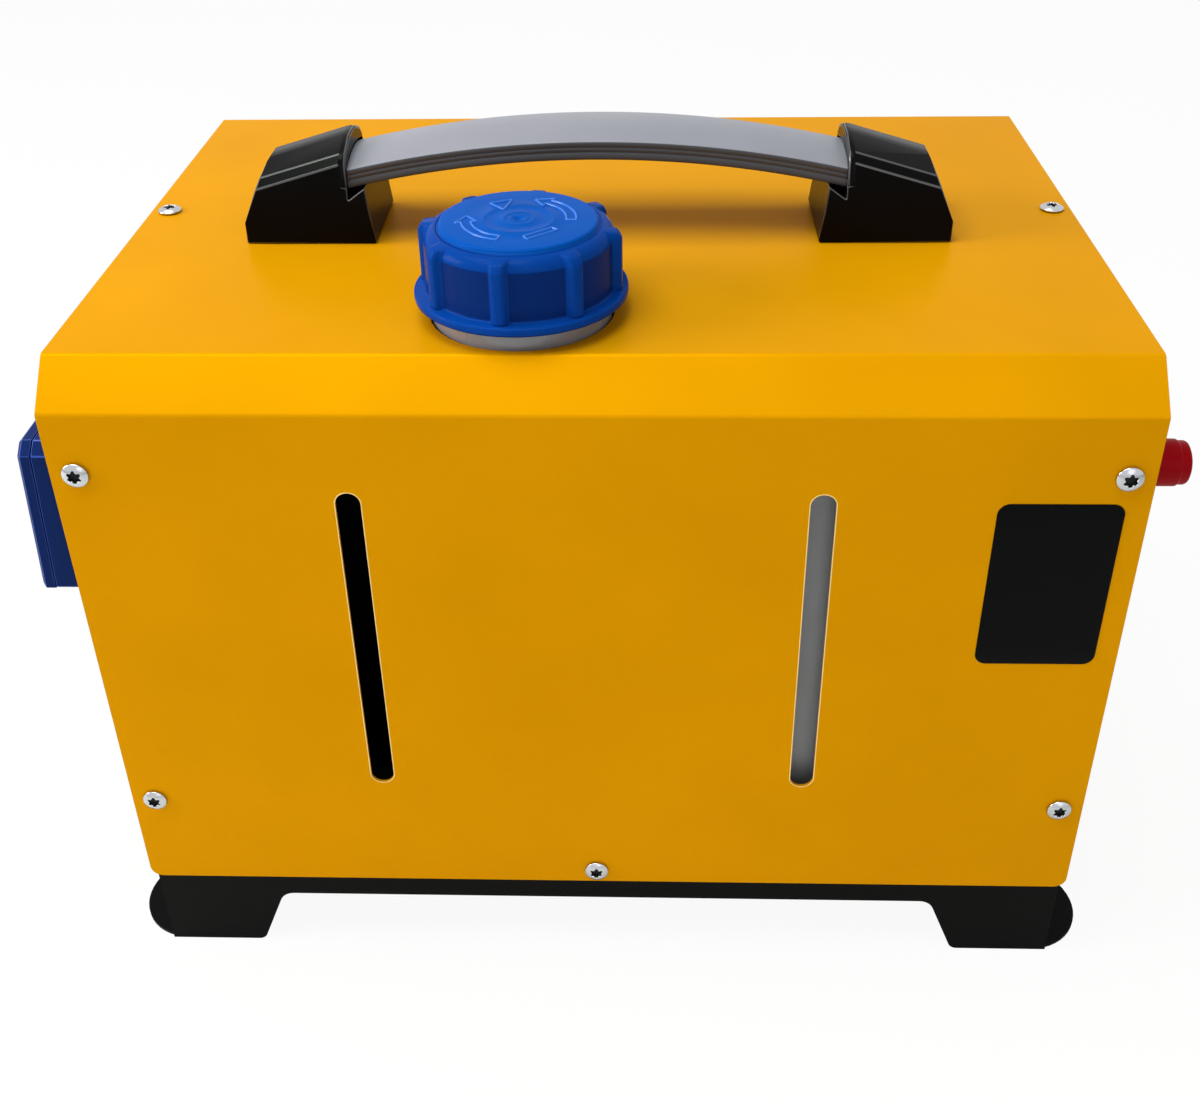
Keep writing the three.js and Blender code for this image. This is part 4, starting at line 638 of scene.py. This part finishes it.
# ---- Handle
# Two glossy black moulded brackets hold a grey strap of softer plastic, which is bent to a
# flat arch and has parting lines along its sides.
BRACKET_ROUND = 0.5 * MM
BRACKET_SHORTEST = 1.8 * MM  # shorter edges, round the strap's opening, stay sharp
GRIP_WIDTH = 38.0 * MM
GRIP_SIDE = 8.0 * MM
GRIP_CROWN = 3.0 * MM
GRIP_ARC_R = 440.04 * MM
GRIP_HALF = 121.5 * MM
GRIP_RISE = 37.0 * MM  # middle of its side above the top sheet
GRIP_STEPS = 72
GRIP_AT = (-3.0 * MM, -8.5 * MM, cover_high[2] + GRIP_RISE - GRIP_ARC_R)

# from a polished mould: nearly black; its rounded edges take a lighter, glossier copy: painted
# highlight
bracket_plastic = moulded(
    "gloss_black_abs", "#040405", 0.24, 0.9 * MM, 0.012 * MM, **{"Specular IOR Level": 0.06}
)
bracket_edge_painted_highlight = moulded(
    "gloss_black_abs_edges_painted_highlight", "#141416", 0.3, 0.9 * MM, 0.006 * MM, **{"Specular IOR Level": 1.0}
)
for side in ("left", "right"):
    finished_copy(
        "handle_bracket_" + side,
        "case",
        [bracket_plastic, bracket_edge_painted_highlight],
        BRACKET_ROUND,
        steps=3,
        shortest=BRACKET_SHORTEST,
    )


def grip_section():
    """Places across and heights: flat underside, upright sides with two parting lines, and a
    crown of height side / 2 - 0.1 mm + crown (1 - t^2)."""
    half, side = GRIP_WIDTH / 2, GRIP_SIDE / 2
    t = np.linspace(1, -1, 25)
    crown = np.stack([t * (half - 0.9 * MM), side - 0.1 * MM + GRIP_CROWN * (1 - t**2)], -1)
    heights = np.array([-0.8, -0.6, -0.16, -0.1, -0.04, 0.3, 0.36, 0.42, 0.75]) * side
    nick = np.array([0, 0, 0, 0.35, 0, 0, 0.3, 0, 0]) * MM
    upright = np.stack([half - nick, heights], -1)
    low = np.array([[half - 1.6 * MM, -side], [half - 0.5 * MM, -side + 0.35 * MM]])
    right_side = np.concatenate([low, upright, [[half - 0.25 * MM, side - 0.45 * MM]]])
    left_side = right_side[::-1] * (-1, 1)
    floor_line = np.stack([np.linspace(-half + 4 * MM, half - 4 * MM, 8), np.full(8, -side)], -1)
    return np.concatenate([right_side, crown, left_side, floor_line])


def grip_points():
    """The section carried along an arc in the (x, z) plane, with both ends closed."""
    across, height = grip_section().T
    reach = math.asin(GRIP_HALF / GRIP_ARC_R)
    angle = np.linspace(-reach, reach, GRIP_STEPS)[:, None]
    radius = GRIP_ARC_R + height
    sideways = np.broadcast_to(across, (GRIP_STEPS, len(across)))
    rows = np.dstack([radius * np.sin(angle), sideways, radius * np.cos(angle)])
    ends = rows[[0, -1]].mean(1, keepdims=True) + 0 * rows[[0, -1]]
    return np.concatenate([ends[:1], rows, ends[1:]]) + GRIP_AT


# soft PVC: a satin skin; its sides and underside take a darker copy of it, painted shade
grip_plastic = moulded(
    "grey_soft_pvc",
    "#8B8996",
    0.42,
    1.2 * MM,
    0.01 * MM,
    drift=0.04,
    **{"Specular IOR Level": 0.25},
)
grip_painted_shade_plastic = moulded(
    "grey_soft_pvc_painted_shade_sides",
    "#45464C",
    0.5,
    1.2 * MM,
    0.01 * MM,
    drift=0.04,
    **{"Specular IOR Level": 0.2},
)
mesh = surface("grip_strap", grip_points(), around=True)
grip = shown("grip_strap", mesh, grip_plastic, grip_painted_shade_plastic)
centres = face_centres(mesh) - GRIP_AT
height = np.hypot(centres[:, 0], centres[:, 2]) - GRIP_ARC_R
# faces below the crown's foot get the darker copy: painted shade
give_materials(mesh, height < GRIP_SIDE / 2 - 0.6 * MM)
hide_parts("handle_grip")
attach(grip, "case")


# ---- Filler cap
# Bright blue polyethylene screw cap: eight gripping ribs, a flange at the foot, and a raised
# disc with turning arrows on top. This section's lengths are in millimetres, and its heights
# are taken from the top sheet.
CAP_AT = np.mean(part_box("fuel_cap"), axis=0) * (1, 1, 0) + cover_high * (0, 0, 1)
CAP_TOP = 35.3
CAP_BODY_R = 34.3
CAP_RIB_R = 37.2
CAP_RIBS = 8
CAP_RIB_HALF = 2.9
CAP_RIB_TURN = math.radians(-98)
CAP_RIB_FROM, CAP_RIB_TO = 10.9, 33.0
CAP_SHOULDER = (28.9, 29.5, 34.0)  # its least radius, its lower and its upper end
CAP_WALL_IN = 30.4
CAP_FLANGE_TOP = 8.9
CAP_WALL_RINGS = (20.5, 15.6)  # two faint moulding rings
WALL_RING_HALF = 0.6
WALL_RING_H = 0.12
BEAD_HALF = 0.42  # raised signs on the disc
BEAD_H = 0.5
BEAD_SUNK = 0.05


def polar(radius, angle):
    """Points at a radius and an angle about the axis, in plan."""
    return np.stack([radius * np.cos(angle), radius * np.sin(angle)], -1)


def arc_points(centre, radius, start, end, steps=7):
    """Points of an arc in (radius, height), angles in degrees."""
    return polar(radius, np.radians(np.linspace(start, end, steps))) + centre


def cap_profile():
    """Radius and height from the middle of the top, over the disc's rim, the shoulder, the
    ribbed wall and the flange, to the inside."""
    gate = [(0, 34.6), (0.9, 34.7), (1.4, CAP_TOP), (2.6, CAP_TOP), (3, 35.5), (3.4, CAP_TOP)]
    inner_ring = [(5.0, CAP_TOP), (5.4, 35.5), (5.8, CAP_TOP)]
    outer_ring = [(12.2, CAP_TOP), (12.6, 35.45), (13, CAP_TOP), (20, CAP_TOP)]
    parts = [
        np.array(gate + inner_ring + outer_ring),
        arc_points((27.4, 34.0), 1.3, 90, 0),
        arc_points((29.5, 34.1), 0.8, 180, 270, 4),
        arc_points((29.3, 28.5), 5.0, 88, 8, 9),
        np.stack([np.full(14, CAP_BODY_R), np.linspace(28.2, 12.0, 14)], -1),
        arc_points((35.5, 12.0), 1.2, 180, 270, 4),
        arc_points((38.0, 9.8), 1.0, 90, 0, 5),
        arc_points((38.3, 8.2), 0.7, 0, -90, 4),
        np.array([(30.6, 7.5), (30.6, 31.0), (0, 31.0)]),
    ]
    return np.concatenate(parts)


def cap_points():
    """The profile turned about Z, with each rib added as a rounded ridge of height
    (rib - body) sqrt(1 - (d / half)^4), which fades at the shoulder."""
    radius, height = cap_profile().T
    turn = np.linspace(0, 2 * math.pi, 320, endpoint=False)
    pitch = 2 * math.pi / CAP_RIBS
    off = (turn - CAP_RIB_TURN + pitch / 2) % pitch - pitch / 2
    across = np.clip(1 - (off * CAP_BODY_R / CAP_RIB_HALF) ** 4, 0, None) ** 0.5
    ribbed = (radius > 30.0) & (height > CAP_RIB_FROM) & (height < CAP_RIB_TO)
    fade = np.clip((33.2 - height) / 3.2, 0, 1) ** 0.5 * ribbed
    ridge = (CAP_RIB_R - CAP_BODY_R) * fade[:, None] * across
    in_ring = np.min([abs(height - level) for level in CAP_WALL_RINGS], axis=0) < WALL_RING_HALF
    plain = radius[:, None] + WALL_RING_H * (in_ring & ribbed)[:, None] * (1 - across)
    out = np.maximum(plain, (CAP_BODY_R + ridge) * (ridge > 0))
    level = np.broadcast_to(height[:, None], out.shape)
    return np.dstack([out * np.cos(turn), out * np.sin(turn), level]) * MM + CAP_AT


def raised_line(name, path):
    """A low rounded bead along a path on the cap's top, of height bead sqrt(1 - t^2) across."""
    along = np.gradient(path, axis=0)
    along /= np.linalg.norm(along, axis=1, keepdims=True)
    sideways = np.stack([-along[:, 1], along[:, 0]], -1)
    t = np.linspace(-1, 1, 9)
    flat = path[:, None, :] + BEAD_HALF * t[None, :, None] * sideways[:, None, :]
    rise = np.broadcast_to(BEAD_H * np.sqrt(1 - t**2), flat.shape[:2])
    rise = rise * np.r_[0, np.ones(len(path) - 2), 0][:, None]
    points = np.dstack([flat, CAP_TOP - BEAD_SUNK + rise]) * MM + CAP_AT
    bead = shown(name, surface(name, points), cap_relief_painted_highlight)
    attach(bead, "cap")


def raised_outline(name, corners, points=220):
    """A bead that follows straight lines between corners, its points evenly spaced."""
    step = np.linalg.norm(np.diff(corners, axis=0), axis=1)
    run = np.r_[0, np.cumsum(step)]
    even = np.linspace(0, run[-1], points)
    raised_line(name, np.stack([np.interp(even, run, line) for line in corners.T], -1))


def arrow(name, start, end, inner, outer):
    """The outline of a curved arrow between two angles, in degrees, with its head at the end."""
    sweep = np.radians(np.linspace(start, end, 30))
    middle, flare = (inner + outer) / 2, (outer - inner) * 1.1
    tip = math.radians(end + 17 * np.sign(end - start))
    head = polar(np.array([middle + flare, middle]), np.array([sweep[-1], tip]))
    tail = polar(np.array([middle - flare, inner]), sweep[-1])
    rim = [polar(outer, sweep), head, tail, polar(inner, sweep[::-1]), polar(outer, sweep[:1])]
    raised_outline(name, np.concatenate(rim))


# a polished mould leaves the top bright and smooth; the wall between the ribs has a darker copy
# of its blue, painted shade, the ribs and shoulder a less dark copy, and the raised signs a
# lighter, glossier one, a painted highlight
cap_plastic = moulded(
    "blue_polyethylene", "#064DAA", 0.24, 1.2 * MM, 0.01 * MM, **{"Specular IOR Level": 0.012}
)
cap_wall_painted_shade = moulded(
    "blue_polyethylene_wall_painted_shade", "#052A6E", 0.3, 1.2 * MM, 0.01 * MM, **{"Specular IOR Level": 0.03}
)
# ribs and shoulder: a darker copy of the top's blue, painted shade lighter than the wall's
cap_ridge_painted_shade = moulded(
    "blue_polyethylene_ridges_painted_shade", "#063C92", 0.18, 1.2 * MM, 0.01 * MM, **{"Specular IOR Level": 0.02}
)
# the raised signs: a lighter copy of the blue, painted highlight; their gloss is real
cap_relief_painted_highlight = moulded(
    "blue_polyethylene_relief_painted_highlight", "#1C6AD0", 0.2, 1.2 * MM, 0.01 * MM, **{"Specular IOR Level": 0.3}
)
mesh = surface("screw_cap", cap_points(), around=True)
cap = shown("screw_cap", mesh, cap_plastic, cap_wall_painted_shade, cap_ridge_painted_shade)
centres = (face_centres(mesh) - CAP_AT) / MM
out, up = np.hypot(centres[:, 0], centres[:, 1]), centres[:, 2]
least, lower, upper = CAP_SHOULDER
# wall faces get the darkest copy, ribs and shoulder the middle one: painted shade
wall = (out > CAP_WALL_IN) & (up < lower)
rib = wall & (out > CAP_BODY_R + 0.3) & (up > CAP_FLANGE_TOP)
shoulder = (out > least) & (up > lower) & (up < upper)
give_materials(mesh, np.where(shoulder | rib, 2, wall))
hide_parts("fuel_cap")
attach(cap, "cap")

arrow("closing_arrow", 252, 190, 17.0, 20.5)
arrow("opening_arrow", -4, 58, 17.0, 20.5)
triangle = np.array([(-11.6, 14.9), (-3.7, 18.3), (-6.0, 8.7), (-11.6, 14.9)])
raised_outline("triangle_mark", triangle, 90)
bar = np.array([(4.3, -19.0), (14.6, -10.4), (12.4, -8.6), (3.0, -16.4), (4.3, -19.0)])
raised_outline("bar_mark", bar, 110)
dress(hose_rubber, "cap_seal")


# ---- Controller
# Dark blue two-part moulded box on the left panel: sloped bezel, a dark window over the
# display, and four soft keys beside it.
BOX_ROUND = 0.6 * MM

# satin moulding; its rounded edges take a lighter, glossier copy of the blue: painted highlight
controller_plastic = moulded(
    "dark_blue_abs", "#06225E", 0.36, 0.9 * MM, 0.012 * MM, **{"Specular IOR Level": 0.05}
)
controller_edge_painted_highlight = moulded(
    "dark_blue_abs_edges_painted_highlight", "#2447B0", 0.3, 0.9 * MM, 0.012 * MM, **{"Specular IOR Level": 0.3}
)
# polished acrylic shines like glass, and the moulded rubber beside it is dull
window_plastic = moulded("smoked_acrylic", "#0A0D12", 0.1, 2.0 * MM, 0.001 * MM, drift=0.02)
key_rubber = moulded("soft_black_key_rubber", "#1C1E22", 0.6, 0.7 * MM, 0.01 * MM)
for half in ("controller_back", "controller_bezel"):
    blues = [controller_plastic, controller_edge_painted_highlight]
    finished_copy(half, "case", blues, BOX_ROUND, steps=3)
finished_copy("controller_display", "case", [window_plastic], 0.3 * MM)
for key in ("power", "set", "up", "down"):
    body = key + "_key"
    finished_copy("button_" + key, body, [key_rubber], BOX_ROUND, steps=3)


# ---- Terminals
# Two insulated binding posts on the right panel, red and black: a collar, a brass stud, a
# washer and a domed knob that screws down on it.
ROUND_PIECE = 40  # degrees: a sharper edge than this isn't a facet of a round piece

for colour, pigment in (("red", "#960210"), ("black", "#0C0C0E")):
    # pressed phenolic resin: a hard, satin skin
    plastic = moulded(
        colour + "_phenolic", pigment, 0.35, 1.0 * MM, 0.01 * MM, **{"Specular IOR Level": 0.06}
    )
    post, knob = "terminal_post_" + colour, "terminal_knob_" + colour
    finished_copy(post, "case", [plastic], 0.5 * MM, angle=ROUND_PIECE)
    finished_copy(knob, colour + "_knob", [plastic], 0.4 * MM, angle=ROUND_PIECE)
    dress(turned_brass, "terminal_stud_" + colour)
    dress(zinc, "terminal_washer_" + colour)


# ---- Air inlet and outlet
# Black moulded grille on the left panel; on the right a spigot ring with a louvre that turns
# in it to steer the warm air.
# filled nylon that stands the heat: dull black with a fine grain
vent_plastic = moulded("heat_proof_black_nylon", "#18191B", 0.48, 0.8 * MM, 0.02 * MM)
for node, body, edge in (
    ("intake_grille", "case", 0.3 * MM),
    ("outlet_ring", "case", 0.6 * MM),
    ("outlet_louvre", "louvre", 0.3 * MM),
):
    finished_copy(node, body, [vent_plastic], edge, angle=ROUND_PIECE)
